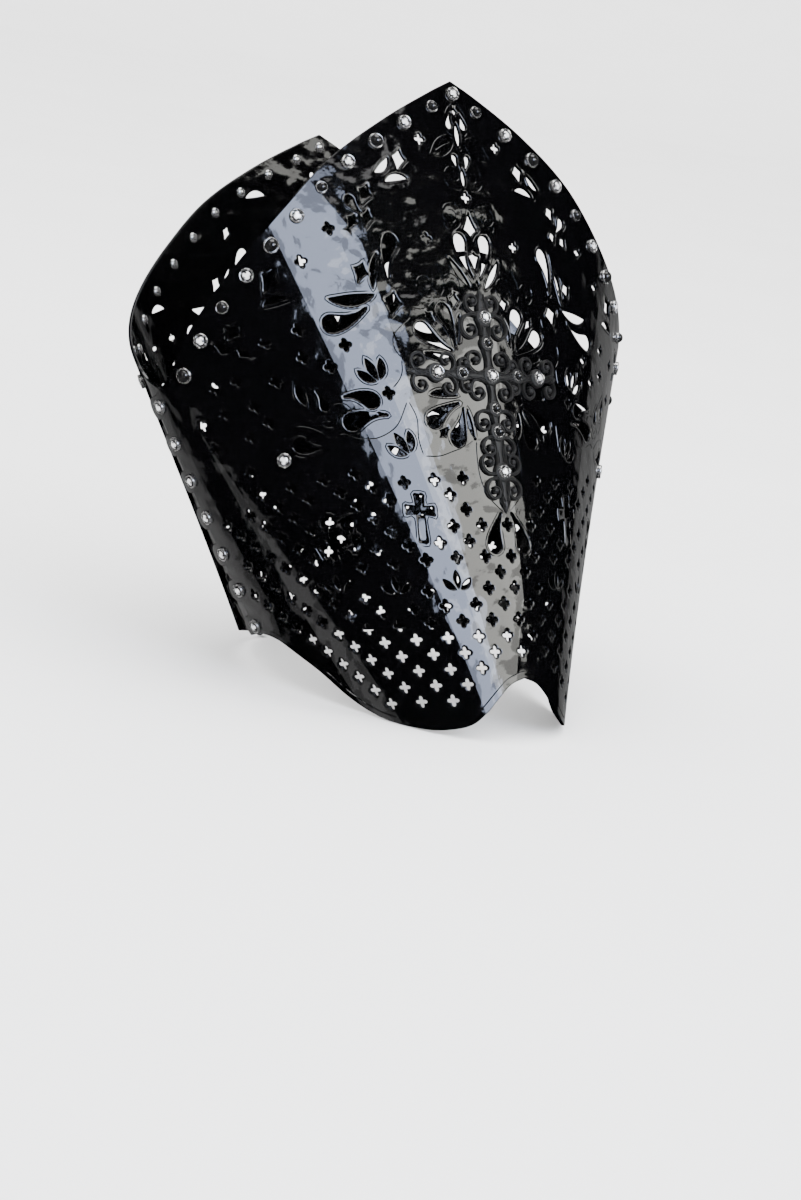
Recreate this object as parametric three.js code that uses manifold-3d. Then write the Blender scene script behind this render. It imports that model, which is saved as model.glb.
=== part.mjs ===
// A bishop mitre: two tall pierced sheets, a front and a back panel, riveted together along the side
// seams, with a stone-set cross on the front and studs along every free edge. Millimetres, +Z up.
// The crown is shaped as it is worn, front towards -Y, and is then leaned back onto its own rim.
import * as THREE from 'three';
import { mergeVertices } from 'three/addons/utils/BufferGeometryUtils.js';
import Module from 'manifold-3d';

const wasm = await Module();
wasm.setup();

// Driving sizes of the two panels
const crownHeight = 306;        // front centre line, from the level of the seams' foot to the apex
const seamHeight = 124;         // height of the side seams along the panels' rows
const backApexDrop = 19;        // how much shorter the back panel's centre line is
const rimHalfWidth = 88.5;      // half of the crown's width at the seams' foot
const frontDepth = 109;         // seam line to front centre line at that level
const backDepth = 88;           // seam line to back centre line at that level
const lobeDrop = 37;            // how far the two face lobes reach below the seams' foot
const frontClimb = 0.14;        // rise of the front panel's rows towards the seam, per depth
const backClimb = 0.115;        // the same for the back panel
const wall = 1.8;               // thickness of each sheet
const clearance = 0.3;          // gap between neighbouring pieces
const rowSag = 0.00152;         // fall of a straight row of the flat pattern, per mm squared

// Driving sizes of the riveted seam
const seamLap = 3;              // straight edge of the front panel beyond the rivet line
const tabReach = 11.5;          // end of a round tab beyond the rivet line
const tabRadius = 5.8;
const underlap = 6;             // strip of the back panel hidden under the front one
const seamStudCount = 7;
const seamFootMargin = 4;       // lowest rivet above the seams' foot
const seamHeadMargin = 6;       // highest rivet below the seams' head

// Driving sizes of the studs
const edgeInset = 7.2;          // edge of a panel to the middle of its studs
const edgeStudPitch = 22;
const crystalRadius = 4.1;      // ring of a crystal stud
const crystalHeight = 3.4;
const domeRadiusLarge = 4.5;    // ring of the larger black studs
const domeRadiusSmall = 3.6;
const shankRadius = 1.2;
const capRadius = 2.9;          // rivet cap on the inside
const capHeight = 1.3;
const ringHeight = 1.2;          // girdle of the back panel's studs above the sheet

// Driving sizes of the cut-outs and of the cross
const cutUnit = 10;             // unit for the lengths of cut-outs
const diamondSpan = 6.6;        // width of one diamond of the lattice
const latticePitch = 33;        // columns of diamonds
const latticeRise = 16.2;       // rows of diamonds, every second one half a column aside
const latticeRows = 5;
const latticeHalfColumns = 4;
const latticeTop = 0.19;        // top row, as a share of the crown height
const latticeEnd = 0.86;        // outermost diamonds, as a share of the half panel's width
const latticeMargin = 9.9;      // lowest diamonds above the panel's lower edge
const crossHeight = 116.5;
const crossSpan = 101.5;
const crossMiddle = 0.485;      // middle of the cross, as a share of the crown height
const crossThickness = 1.8;
const crossLap = 0.15;          // how much an arm's plate stands above the one it runs into
const bossRadius = 4.6;         // settings of the cross's stones
const bossRoot = 0.4;           // how deep a setting starts in the plate
const bossCrystalHeight = 2.4;
const bossDomeHeight = 3;

// Sections of the crown. Lengths are shares of the named sizes, the bows are exponents: 1 is an oval
// and more is closer to a lens with its points at the seams.
const sections = [
  { up: 0.00, halfWidth: 1.00, setBack: 0.000, front: 1.00, frontBow: 1.07, back: 1.00, backBow: 1.34 },
  { up: 0.41, halfWidth: 1.66, setBack: 0.116, front: 0.88, frontBow: 1.22, back: 0.79, backBow: 1.08 },
  { up: 1.00, halfWidth: 2.46, setBack: 0.315, front: 0.70, frontBow: 1.43, back: 0.48, backBow: 0.80 },
];

// Upper edge of a panel: rise above the seams' head as a share of the way to the apex.
const upperEdge = [
  { across: 0.00, rise: 1.000 }, { across: 0.06, rise: 0.962 }, { across: 0.20, rise: 0.862 },
  { across: 0.36, rise: 0.726 }, { across: 0.50, rise: 0.568 }, { across: 0.68, rise: 0.360 },
  { across: 0.80, rise: 0.215 }, { across: 0.92, rise: 0.062 }, { across: 1.00, rise: 0.000 },
];

// Lower edge of the front panel: drop below the seams' foot as a share of the lobes' drop.
const lowerEdge = [
  { across: 0.00, drop: 0.19 }, { across: 0.06, drop: 0.28 }, { across: 0.11, drop: 0.46 },
  { across: 0.16, drop: 0.67 }, { across: 0.22, drop: 0.86 }, { across: 0.30, drop: 0.96 },
  { across: 0.39, drop: 1.00 }, { across: 0.53, drop: 0.95 }, { across: 0.61, drop: 0.84 },
  { across: 0.68, drop: 0.67 }, { across: 0.76, drop: 0.40 }, { across: 0.84, drop: 0.19 },
  { across: 0.90, drop: 0.05 }, { across: 0.95, drop: 0.00 }, { across: 1.00, drop: 0.00 },
];

// Cut-outs of one half panel, mirrored on the other. Across is a share of the half panel's width at
// that height and up one of the crown height, turn is in degrees, long and wide are in cut units.
// Those between the arms of the cross are on the front panel only.
const cutouts = [
  { shape: 'kite', across: 0.000, up: 0.739, turn: 0, long: 1.25, wide: 0.75 },
  { shape: 'kite', across: 0.000, up: 0.936, turn: 0, long: 0.60, wide: 0.42 },
  { shape: 'slash', across: 0.000, up: 0.901, turn: 0, long: 1.00, wide: 0.28 },
  { shape: 'tear', across: 0.026, up: 0.686, turn: -14, long: 2.20, wide: 0.84 },
  { shape: 'slash', across: 0.047, up: 0.656, turn: -44, long: 1.40, wide: 0.34 },
  { shape: 'kite', across: 0.177, up: 0.843, turn: -8, long: 0.85, wide: 0.55 },
  { shape: 'kite', across: 0.228, up: 0.836, turn: -95, long: 0.75, wide: 0.48 },
  { shape: 'kite', across: 0.303, up: 0.772, turn: 20, long: 0.85, wide: 0.60 },
  { shape: 'kite', across: 0.326, up: 0.742, turn: -160, long: 0.85, wide: 0.60 },
  { shape: 'tear', across: 0.238, up: 0.675, turn: 8, long: 2.00, wide: 0.80 },
  { shape: 'slash', across: 0.305, up: 0.645, turn: 64, long: 1.70, wide: 0.44 },
  { shape: 'tear', across: 0.415, up: 0.578, turn: -70, long: 1.70, wide: 0.76 },
  { shape: 'kite', across: 0.555, up: 0.610, turn: 25, long: 1.00, wide: 0.60 },
  { shape: 'kite', across: 0.700, up: 0.508, turn: 20, long: 1.05, wide: 0.70 },
  { shape: 'tear', across: 0.400, up: 0.398, turn: -100, long: 1.70, wide: 0.74 },
  { shape: 'tear', across: 0.575, up: 0.350, turn: -60, long: 1.30, wide: 0.64 },
  { shape: 'tear', across: 0.041, up: 0.222, turn: -155, long: 1.80, wide: 0.62 },
  { shape: 'latin', across: 0.284, up: 0.258, turn: -8, long: 2.20, wide: 1.00 },
  { shape: 'lily', across: 0.547, up: 0.194, turn: -16, long: 2.30, wide: 1.70 },
];
const crossCorners = [
  { shape: 'tear', across: 0.119, up: 0.558, turn: -28, long: 1.90, wide: 0.72 },
  { shape: 'tear', across: 0.143, up: 0.545, turn: -62, long: 1.90, wide: 0.72 },
  { shape: 'tear', across: 0.152, up: 0.412, turn: -120, long: 1.90, wide: 0.72 },
  { shape: 'tear', across: 0.128, up: 0.400, turn: -152, long: 1.90, wide: 0.72 },
];

// The cross: bosses carry a stone, and the outlines' points stand out where the scrolls are. Along is
// a share of half the cross's height, upwards from its middle, and beside is one of half its span.
const crossBosses = [
  { stone: 'crystal', along: 0.00, beside: 0.00 }, { stone: 'crystal', along: 0.52, beside: 0.00 },
  { stone: 'crystal', along: -0.86, beside: 0.00 }, { stone: 'dome', along: 0.29, beside: 0.00 },
  { stone: 'dome', along: -0.30, beside: 0.00 }, { stone: 'dome', along: -0.51, beside: 0.00 },
  { stone: 'crystal', along: 0.00, beside: 0.67 }, { stone: 'dome', along: 0.00, beside: 0.36 },
];
const crossUpright = [
  { along: -1.22, beside: 0.02 }, { along: -1.05, beside: 0.20 }, { along: -0.95, beside: 0.06 },
  { along: -0.77, beside: 0.21 }, { along: -0.66, beside: 0.06 }, { along: -0.44, beside: 0.22 },
  { along: -0.34, beside: 0.06 }, { along: -0.12, beside: 0.10 }, { along: 0.12, beside: 0.10 },
  { along: 0.32, beside: 0.06 }, { along: 0.42, beside: 0.24 }, { along: 0.50, beside: 0.09 },
  { along: 0.67, beside: 0.19 }, { along: 0.78, beside: 0.02 },
];
const crossArmInner = [
  { along: 0.07, beside: 0.05 }, { along: 0.07, beside: 0.36 }, { along: 0.17, beside: 0.54 },
];
const crossArmOuter = [
  { along: 0.07, beside: 0.50 }, { along: 0.07, beside: 0.70 }, { along: 0.17, beside: 0.84 },
  { along: 0.02, beside: 1.00 },
];

// Finishes
const patent = new THREE.MeshStandardMaterial({ color: 0x08080a, roughness: 0.06, metalness: 0 });
const silver = new THREE.MeshStandardMaterial({ color: 0xcfd2d6, roughness: 0.15, metalness: 1 });
const jet = new THREE.MeshStandardMaterial({ color: 0x0b0b0d, roughness: 0.08, metalness: 0.4 });
const crossEnamel = new THREE.MeshStandardMaterial({ color: 0x0a0a0c, roughness: 0.12, metalness: 0 });
const bothFaces = new THREE.MeshStandardMaterial({ side: THREE.DoubleSide });

// Parabola through three rows of the section table.
function blend(column, up) {
  const [a, b, c] = sections;
  const x = up;
  return a[column] * (x - b.up) * (x - c.up) / ((a.up - b.up) * (a.up - c.up))
    + b[column] * (x - a.up) * (x - c.up) / ((b.up - a.up) * (b.up - c.up))
    + c[column] * (x - a.up) * (x - b.up) / ((c.up - a.up) * (c.up - b.up));
}

// Smooth curve through the rows of an edge table.
function edgeValue(table, column, across) {
  const x = Math.min(Math.max(across, 0), 1);
  let i = 0;
  while (i < table.length - 2 && x > table[i + 1].across) i += 1;
  const slope = (k) => {
    const lower = table[Math.max(k - 1, 0)];
    const upper = table[Math.min(k + 1, table.length - 1)];
    return (upper[column] - lower[column]) / (upper.across - lower.across);
  };
  const [p, q] = [table[i], table[i + 1]];
  const span = q.across - p.across;
  const t = (x - p.across) / span;
  return (2 * t ** 3 - 3 * t ** 2 + 1) * p[column] + (t ** 3 - 2 * t ** 2 + t) * span * slope(i)
    + (3 * t ** 2 - 2 * t ** 3) * q[column] + (t ** 3 - t ** 2) * span * slope(i + 1);
}

// Half of the crown's section on a row at height z, from the front centre line round to the back one,
// as points with their distance s along the section.
const quarterSteps = 60;
const sectionCache = new Map();
function halfSection(z) {
  if (sectionCache.has(z)) return sectionCache.get(z);
  const up = z / crownHeight;
  const width = rimHalfWidth * blend('halfWidth', up);
  const seamY = rimHalfWidth * blend('setBack', up);
  const front = frontDepth * blend('front', up);
  const back = backDepth * blend('back', up);
  const seamZ = z + frontClimb * front;
  const points = [];
  let s = 0;
  let seam = 0;
  for (let i = 0; i <= 2 * quarterSteps; i += 1) {
    const ahead = i <= quarterSteps;
    const angle = (Math.PI / 2) * (i / quarterSteps);
    const bow = blend(ahead ? 'frontBow' : 'backBow', up);
    const reach = Math.abs(Math.cos(angle)) ** bow;
    const depth = ahead ? -front : back;
    const climb = ahead ? frontClimb : backClimb;
    const point = new THREE.Vector3(
      width * Math.sin(angle), seamY + depth * reach, seamZ - climb * Math.abs(depth) * reach);
    if (i > 0) s += Math.hypot(point.x - points[i - 1].point.x, point.y - points[i - 1].point.y);
    if (i === quarterSteps) seam = s;
    points.push({ s, point });
  }
  const made = { points, seam, whole: s };
  sectionCache.set(z, made);
  return made;
}

function seamDistance(face, z) {
  const { seam, whole } = halfSection(z);
  return face === 'front' ? seam : whole - seam;
}

// Point on the crown's outer skin: face is 'front' or 'back', p the distance from its centre line.
function skin(face, p, z) {
  const { points, whole } = halfSection(z);
  const s = face === 'front' ? Math.abs(p) : whole - Math.abs(p);
  let i = 1;
  while (i < points.length - 1 && points[i].s < s) i += 1;
  const [from, to] = [points[i - 1], points[i]];
  const spot = from.point.clone().lerp(to.point, (s - from.s) / (to.s - from.s));
  if (p < 0) spot.x = -spot.x;
  return spot;
}

const probe = 1.6;              // step of the finite differences on the skin
function skinNormal(face, p, z) {
  const alongRow = skin(face, p + probe, z).sub(skin(face, p - probe, z));
  const alongRise = skin(face, p, z + probe).sub(skin(face, p, z - probe));
  const normal = alongRow.cross(alongRise).normalize();
  return face === 'front' ? normal : normal.negate();
}

// Point at a depth under the outer skin.
function under(face, p, z, depth) {
  return skin(face, p, z).addScaledVector(skinNormal(face, p, z), -depth);
}

// Closed body from points and triangles, turned outwards, as a solid.
function solidFrom(vertices, triangles) {
  const geometry = new THREE.BufferGeometry();
  geometry.setAttribute('position', new THREE.BufferAttribute(new Float32Array(vertices), 3));
  geometry.setIndex(triangles);
  const merged = mergeVertices(geometry, 1e-3);
  const index = Array.from(merged.index.array);
  const kept = [];
  for (let i = 0; i < index.length; i += 3) {
    const [a, b, c] = index.slice(i, i + 3);
    if (a !== b && b !== c && c !== a) kept.push(a, b, c);
  }
  const build = (order) => new wasm.Manifold(new wasm.Mesh({
    numProp: 3, vertProperties: new Float32Array(merged.attributes.position.array),
    triVerts: new Uint32Array(order) }));
  const solid = build(kept);
  if (solid.volume() > 0) return solid;
  const turned = [];
  for (let i = 0; i < kept.length; i += 3) turned.push(kept[i], kept[i + 2], kept[i + 1]);
  return build(turned);
}

function solidOfGeometry(geometry, matrix) {
  const bare = geometry.clone().applyMatrix4(matrix);
  for (const name of ['normal', 'uv']) bare.deleteAttribute(name);
  const merged = mergeVertices(bare, 1e-4);
  return solidFrom(merged.attributes.position.array, Array.from(merged.index.array));
}

function geometryOfSolid(solid) {
  const mesh = solid.getMesh();
  const indexed = new THREE.BufferGeometry();
  indexed.setAttribute('position', new THREE.BufferAttribute(new Float32Array(mesh.vertProperties), 3));
  indexed.setIndex(Array.from(mesh.triVerts));
  const geometry = indexed.toNonIndexed();
  geometry.computeVertexNormals();
  return geometry;
}

// Upright prism through a sheet: an outline of [p, z] points carried from one depth to another.
function sheetPrism(face, shape, outerDepth, innerDepth) {
  const outline = shape.slice();
  const contour = outline.map(([p, z]) => new THREE.Vector2(p, z));
  if (THREE.ShapeUtils.isClockWise(contour)) {
    contour.reverse();
    outline.reverse();
  }
  const caps = THREE.ShapeUtils.triangulateShape(contour, []);
  const vertices = [];
  for (const depth of [outerDepth, innerDepth]) {
    for (const [p, z] of outline) vertices.push(...under(face, p, z, depth).toArray());
  }
  const n = outline.length;
  const triangles = [];
  for (const [a, b, c] of caps) triangles.push(a, b, c, n + a, n + c, n + b);
  for (let i = 0; i < n; i += 1) {
    const j = (i + 1) % n;
    triangles.push(i, n + i, j, j, n + i, n + j);
  }
  return solidFrom(vertices, triangles);
}

// Height of a panel's upper edge at a share of the way from its centre line to the seam.
function upperHeight(face, across) {
  const apex = face === 'front' ? crownHeight : crownHeight - backApexDrop;
  return seamHeight + (apex - seamHeight) * edgeValue(upperEdge, 'rise', across);
}

// The lower edge is scalloped into lobes in front and lies on one level at the back.
const levelFoot = halfSection(0).points[quarterSteps].point.z;
const halvings = 40;            // steps of the searches by halving
function lowerHeight(face, across) {
  if (face === 'front') return -lobeDrop * edgeValue(lowerEdge, 'drop', across);
  let [low, high] = [-crownHeight, crownHeight];
  for (let i = 0; i < halvings; i += 1) {
    const middle = (low + high) / 2;
    const p = Math.min(across, 1) * seamDistance(face, middle);
    if (skin(face, p, middle).z < levelFoot) low = middle;
    else high = middle;
  }
  return (low + high) / 2;
}

// A panel before its cut-outs: columns run from the lower to the upper edge, closer together where the
// crown bends more, and along the seam's strip at the same distances from it on both panels.
const mainColumns = 6;
const stripColumns = [-6, 0, 6, 12];
const panelRows = 8;
function panelBlank(face, outerDepth) {
  const strip = face === 'front' ? stripColumns : stripColumns.slice().reverse().map((x) => -x);
  const kept = strip.filter((x) => face === 'front' || x <= underlap);
  const half = [];
  for (let i = 0; i < mainColumns; i += 1) {
    const even = i / mainColumns;
    half.push({ share: (even + Math.sin(even * Math.PI / 2)) / 2, offset: 0 });
  }
  for (const offset of kept) half.push({ share: 1, offset });
  const columns = [...half.slice(1).reverse().map((c) => ({ ...c, side: -1 })),
    ...half.map((c) => ({ ...c, side: 1 }))];
  const vertices = [];
  for (const depth of [outerDepth, outerDepth + wall]) {
    for (const { share, offset, side } of columns) {
      const edgeShare = share === 1 ? (offset < 0 ? 1 + offset / seamDistance(face, 0) : 1)
        : share * (1 + kept[0] / seamDistance(face, 0));
      const [low, high] = [lowerHeight(face, edgeShare), upperHeight(face, edgeShare)];
      for (let row = 0; row <= panelRows; row += 1) {
        const z = low + (high - low) * row / panelRows;
        const reach = seamDistance(face, z);
        const p = share === 1 ? reach + offset : share * (reach + kept[0]);
        vertices.push(...under(face, side * p, z, depth).toArray());
      }
    }
  }
  const [wide, tall] = [columns.length, panelRows + 1];
  const at = (layer, i, j) => layer * wide * tall + i * tall + j;
  const triangles = [];
  const quad = (a, b, c, d) => triangles.push(a, b, c, a, c, d);
  for (let i = 0; i + 1 < wide; i += 1) {
    for (let j = 0; j + 1 < tall; j += 1) {
      quad(at(0, i, j), at(0, i + 1, j), at(0, i + 1, j + 1), at(0, i, j + 1));
      quad(at(1, i, j), at(1, i, j + 1), at(1, i + 1, j + 1), at(1, i + 1, j));
    }
    quad(at(1, i, 0), at(1, i + 1, 0), at(0, i + 1, 0), at(0, i, 0));
    quad(at(0, i, tall - 1), at(0, i + 1, tall - 1), at(1, i + 1, tall - 1), at(1, i, tall - 1));
  }
  for (let j = 0; j + 1 < tall; j += 1) {
    quad(at(1, 0, j), at(0, 0, j), at(0, 0, j + 1), at(1, 0, j + 1));
    quad(at(0, wide - 1, j), at(1, wide - 1, j), at(1, wide - 1, j + 1), at(0, wide - 1, j + 1));
  }
  return solidFrom(vertices, triangles);
}

// Outlines of the cut-outs, anticlockwise, with their long way upwards.
const arcPoints = (radius, from, to, steps, middle = [0, 0]) => Array.from({ length: steps + 1 },
  (_, i) => {
    const angle = THREE.MathUtils.degToRad(from + (to - from) * i / steps);
    return [middle[0] + radius * Math.cos(angle), middle[1] + radius * Math.sin(angle)];
  });
const shapes = {
  kite: (long, wide) => [[0, -long / 2], [wide / 2, long * 0.12], [0, long / 2], [-wide / 2, long * 0.12]],
  slash: (long, wide) => [[0, -long / 2], [wide * 0.6, -long * 0.08], [wide * 0.1, long / 2],
    [-wide * 0.35, -long * 0.02]],
  tear: (long, wide) => [[0, -long / 2], [wide * 0.3, -long * 0.05],
    ...arcPoints(wide / 2, 0, 180, 3, [0, long / 2 - wide / 2]), [-wide * 0.3, -long * 0.05]],
  diamond: (long, wide) => [[0, -long / 2], [wide / 2, 0], [0, long / 2], [-wide / 2, 0]],
  latin: (long, wide) => {
    const arm = wide * 0.16;
    const bar = long * 0.16;
    return [[-arm, -long / 2], [arm, -long / 2], [arm, bar - arm], [wide / 2, bar - arm],
      [wide / 2, bar + arm], [arm, bar + arm], [arm, long / 2], [-arm, long / 2], [-arm, bar + arm],
      [-wide / 2, bar + arm], [-wide / 2, bar - arm], [-arm, bar - arm]];
  },
  lily: (long, wide) => {
    const half = [[0.14, -0.5], [0.1, -0.12], [0.5, -0.06], [0.46, 0.22], [0.2, 0.08], [0.16, 0.3]];
    const right = half.map(([x, y]) => [x * wide, y * long]);
    const left = right.slice().reverse().map(([x, y]) => [-x, y]);
    return [...right, [0, long / 2], ...left];
  },
};

// Carries an outline to its place on a panel, turned with the pattern's sagging rows.
function placeOutline(outline, p, z, turn) {
  const rowTurn = Math.atan(-2 * rowSag * p);
  const angle = THREE.MathUtils.degToRad(turn) + rowTurn;
  const [c, s] = [Math.cos(angle), Math.sin(angle)];
  return outline.map(([x, y]) => [p + c * x - s * y, z + s * x + c * y]);
}

function cutoutSolids(face, rows, outerDepth) {
  const solids = [];
  for (const { shape, across, up, turn, long, wide } of rows) {
    const z = crownHeight * up;
    const p = across * seamDistance(face, z);
    for (const side of across > 0 ? [1, -1] : [1]) {
      const outline = shapes[shape](long * cutUnit, wide * cutUnit).map(([x, y]) => [side * x, y]);
      const placed = placeOutline(outline, side * p, z, side * turn);
      solids.push(sheetPrism(face, placed, outerDepth - wall, outerDepth + 2 * wall));
    }
  }
  return solids;
}

// Lattice of diamonds on the lower half of the front panel.
function latticeSolids() {
  const solids = [];
  for (let row = 0; row < latticeRows; row += 1) {
    for (let column = -latticeHalfColumns; column <= latticeHalfColumns; column += 1) {
      const p = (column + (row % 2) / 2) * latticePitch;
      const z = latticeTop * crownHeight - row * latticeRise - rowSag * p * p;
      const across = Math.abs(p) / seamDistance('front', z);
      const clearOfEdge = z - lowerHeight('front', across) > latticeMargin;
      if (across > latticeEnd || !clearOfEdge || nearCutout(p, z)) continue;
      const outline = placeOutline(shapes.diamond(diamondSpan, diamondSpan), p, z, 0);
      solids.push(sheetPrism('front', outline, -wall, 2 * wall));
    }
  }
  return solids;
}

function nearCutout(p, z) {
  return cutouts.some(({ across, up, long }) => {
    const height = crownHeight * up;
    const side = across * seamDistance('front', height);
    return Math.hypot(Math.abs(p) - side, z - height) < (long * cutUnit + diamondSpan) / 2 + wall;
  });
}

// Places where studs go
function seamRivets() {
  const pitch = (seamHeight - seamFootMargin - seamHeadMargin) / (seamStudCount - 1);
  return Array.from({ length: seamStudCount }, (_, i) => seamFootMargin + i * pitch);
}

// Spots along a panel's upper edge, a fixed inset below it and a fixed pitch apart.
const edgeSteps = 400;
function edgeSpots(face) {
  const line = [];
  for (let i = 0; i <= edgeSteps; i += 1) {
    const across = i / edgeSteps;
    const z = upperHeight(face, across);
    line.push([across * seamDistance(face, z), z]);
  }
  const inset = line.map(([p, z], i) => {
    const [before, after] = [line[Math.max(i - 1, 0)], line[Math.min(i + 1, edgeSteps)]];
    const [dp, dz] = [after[0] - before[0], after[1] - before[1]];
    const length = Math.hypot(dp, dz);
    return i === 0 ? [0, z - edgeInset] : [p + dz / length * edgeInset, z - dp / length * edgeInset];
  });
  const spots = [inset[0]];
  let walked = 0;
  for (let i = 1; i < inset.length; i += 1) {
    walked += Math.hypot(inset[i][0] - inset[i - 1][0], inset[i][1] - inset[i - 1][1]);
    const roomLeft = inset[i][1] > seamHeight + edgeInset - seamHeadMargin;
    if (walked >= spots.length * edgeStudPitch && inset[i][0] > 0 && roomLeft) spots.push(inset[i]);
  }
  return spots;
}

// One stud: a rivet with a cap inside the sheets and a ring with a cut crystal or a black dome outside.
function studGeometry(kind, radius, capTop, seat) {
  const points = [[0, capTop - capHeight], [capRadius, capTop], [shankRadius, capTop],
    [shankRadius, seat], [radius, seat]];
  if (kind === 'crystal') points.push([radius * 0.5, seat + crystalHeight], [0, seat + crystalHeight]);
  else points.push([radius * 0.8, seat + radius * 0.55], [0, seat + radius * 0.86]);
  return new THREE.LatheGeometry(points.map(([x, y]) => new THREE.Vector2(x, y)),
    kind === 'crystal' ? 8 : 10);
}

// Frame on a panel's outer skin, its Y axis pointing out.
function seatMatrix(face, p, z) {
  const turn = new THREE.Quaternion().setFromUnitVectors(
    new THREE.Vector3(0, 1, 0), skinNormal(face, p, z));
  return new THREE.Matrix4().compose(skin(face, p, z), turn, new THREE.Vector3(1, 1, 1));
}

function shankHole(face, p, z) {
  const holeRadius = (shankRadius + clearance) * Math.SQRT2;
  const hole = new THREE.CylinderGeometry(holeRadius, holeRadius, 8 * wall, 4);
  return solidOfGeometry(hole, seatMatrix(face, p, z));
}

const mitre = new THREE.Group();
const worn = new THREE.Group();
mitre.add(worn);

function addSolid(name, solid, material) {
  const mesh = new THREE.Mesh(geometryOfSolid(solid), material);
  mesh.name = name;
  worn.add(mesh);
}

// How far the sheets' flat facets reach outwards and inwards of the skin within a radius of a spot.
const blanks = {
  front: new THREE.Mesh(geometryOfSolid(panelBlank('front', 0)), bothFaces),
  back: new THREE.Mesh(geometryOfSolid(panelBlank('back', wall + clearance)), bothFaces),
};
const lookFrom = 8;             // start of the probing rays above the skin
function sheetReach(matrix, radius, sheets) {
  const down = new THREE.Vector3(0, -1, 0).transformDirection(matrix);
  const heights = [[0, 0], ...arcPoints(radius, 0, 315, 7)].flatMap(([x, y]) => {
    const from = new THREE.Vector3(x, lookFrom, y).applyMatrix4(matrix);
    return new THREE.Raycaster(from, down, 0, 2 * lookFrom).intersectObjects(sheets)
      .map((hit) => lookFrom - hit.distance);
  });
  return { outer: Math.max(...heights), inner: Math.min(...heights) };
}

function addStud(name, kind, radius, face, p, z, sheets = [blanks[face]]) {
  const matrix = seatMatrix(face, p, z);
  const { outer } = sheetReach(matrix, radius, sheets);
  const { inner } = sheetReach(matrix, capRadius, sheets);
  const lathe = studGeometry(kind, radius, inner - clearance, outer + clearance);
  const mesh = new THREE.Mesh(geometryOfSolid(solidOfGeometry(lathe, new THREE.Matrix4())),
    kind === 'crystal' ? silver : jet);
  mesh.name = name;
  matrix.decompose(mesh.position, mesh.quaternion, mesh.scale);
  worn.add(mesh);
}

const minus = (solid, cuts) => cuts.reduce((left, cut) => left.subtract(cut), solid);
const plus = (solid, extras) => extras.reduce((whole, extra) => whole.add(extra), solid);

const rivetHeights = seamRivets();
const frontSpots = edgeSpots('front');
const backSpots = edgeSpots('back');
const studKinds = (i) => (i % 2 ? ['black', i % 4 === 3 ? domeRadiusLarge : domeRadiusSmall]
  : ['crystal', crystalRadius]);
const medallionSpot = { across: 0.652, up: 0.317 };
const napeSpot = { across: 0.25, up: 0.035 };

// The scalloped side edge that is cut from the front panel on one side.
function scallopCut(side) {
  const [foot, head, far] = [-seamHeight / 4, seamHeight * 5 / 4, tabReach + tabRadius];
  const outline = [[seamLap, foot]];
  for (const z of rivetHeights) {
    const shoulder = tabReach - tabRadius;
    outline.push([seamLap, z - tabRadius], ...arcPoints(tabRadius, -90, 90, 4, [shoulder, z]),
      [seamLap, z + tabRadius]);
  }
  outline.push([seamLap, head], [far, head], [far, foot]);
  const placed = outline.map(([offset, z]) => [side * (seamDistance('front', z) + offset), z]);
  return sheetPrism('front', placed, -2 * wall, 3 * wall);
}

function seamHoles() {
  return rivetHeights.flatMap((z) => [1, -1].map((side) =>
    shankHole('front', side * seamDistance('front', z), z)));
}

function makeFrontPanel() {
  const spots = frontSpots.flatMap(([p, z]) => (p > 0 ? [[p, z], [-p, z]] : [[0, z]]));
  const z = medallionSpot.up * crownHeight;
  const p = medallionSpot.across * seamDistance('front', z);
  const holes = [...spots, [p, z], [-p, z]].map((spot) => shankHole('front', ...spot));
  return minus(panelBlank('front', 0), [scallopCut(1), scallopCut(-1), ...seamHoles(),
    ...holes, ...cutoutSolids('front', [...cutouts, ...crossCorners], 0), ...latticeSolids()]);
}

// The back panel lies one sheet lower than the front one, and its edge studs are pressed into it.
const backLevel = wall + clearance;
function makeBackPanel() {
  const z = napeSpot.up * crownHeight;
  const p = napeSpot.across * seamDistance('back', z);
  const holes = [[p, z], [-p, z]].map((spot) => shankHole('back', ...spot));
  const pressed = backSpots.flatMap(([side, height], i) => {
    const [, radius] = studKinds(i);
    const head = new THREE.LatheGeometry([[0, -wall - capHeight], [radius, ringHeight / 2],
      [0, radius * 0.8]].map(([x, y]) => new THREE.Vector2(x, y)), 8);
    return (side > 0 ? [side, -side] : [0]).map((spot) => solidOfGeometry(head,
      seatMatrix('back', spot, height).multiply(new THREE.Matrix4().makeTranslation(0, -backLevel, 0))));
  });
  return plus(minus(panelBlank('back', backLevel), [...seamHoles(), ...holes,
    ...cutoutSolids('back', cutouts, backLevel)]), pressed);
}

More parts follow.
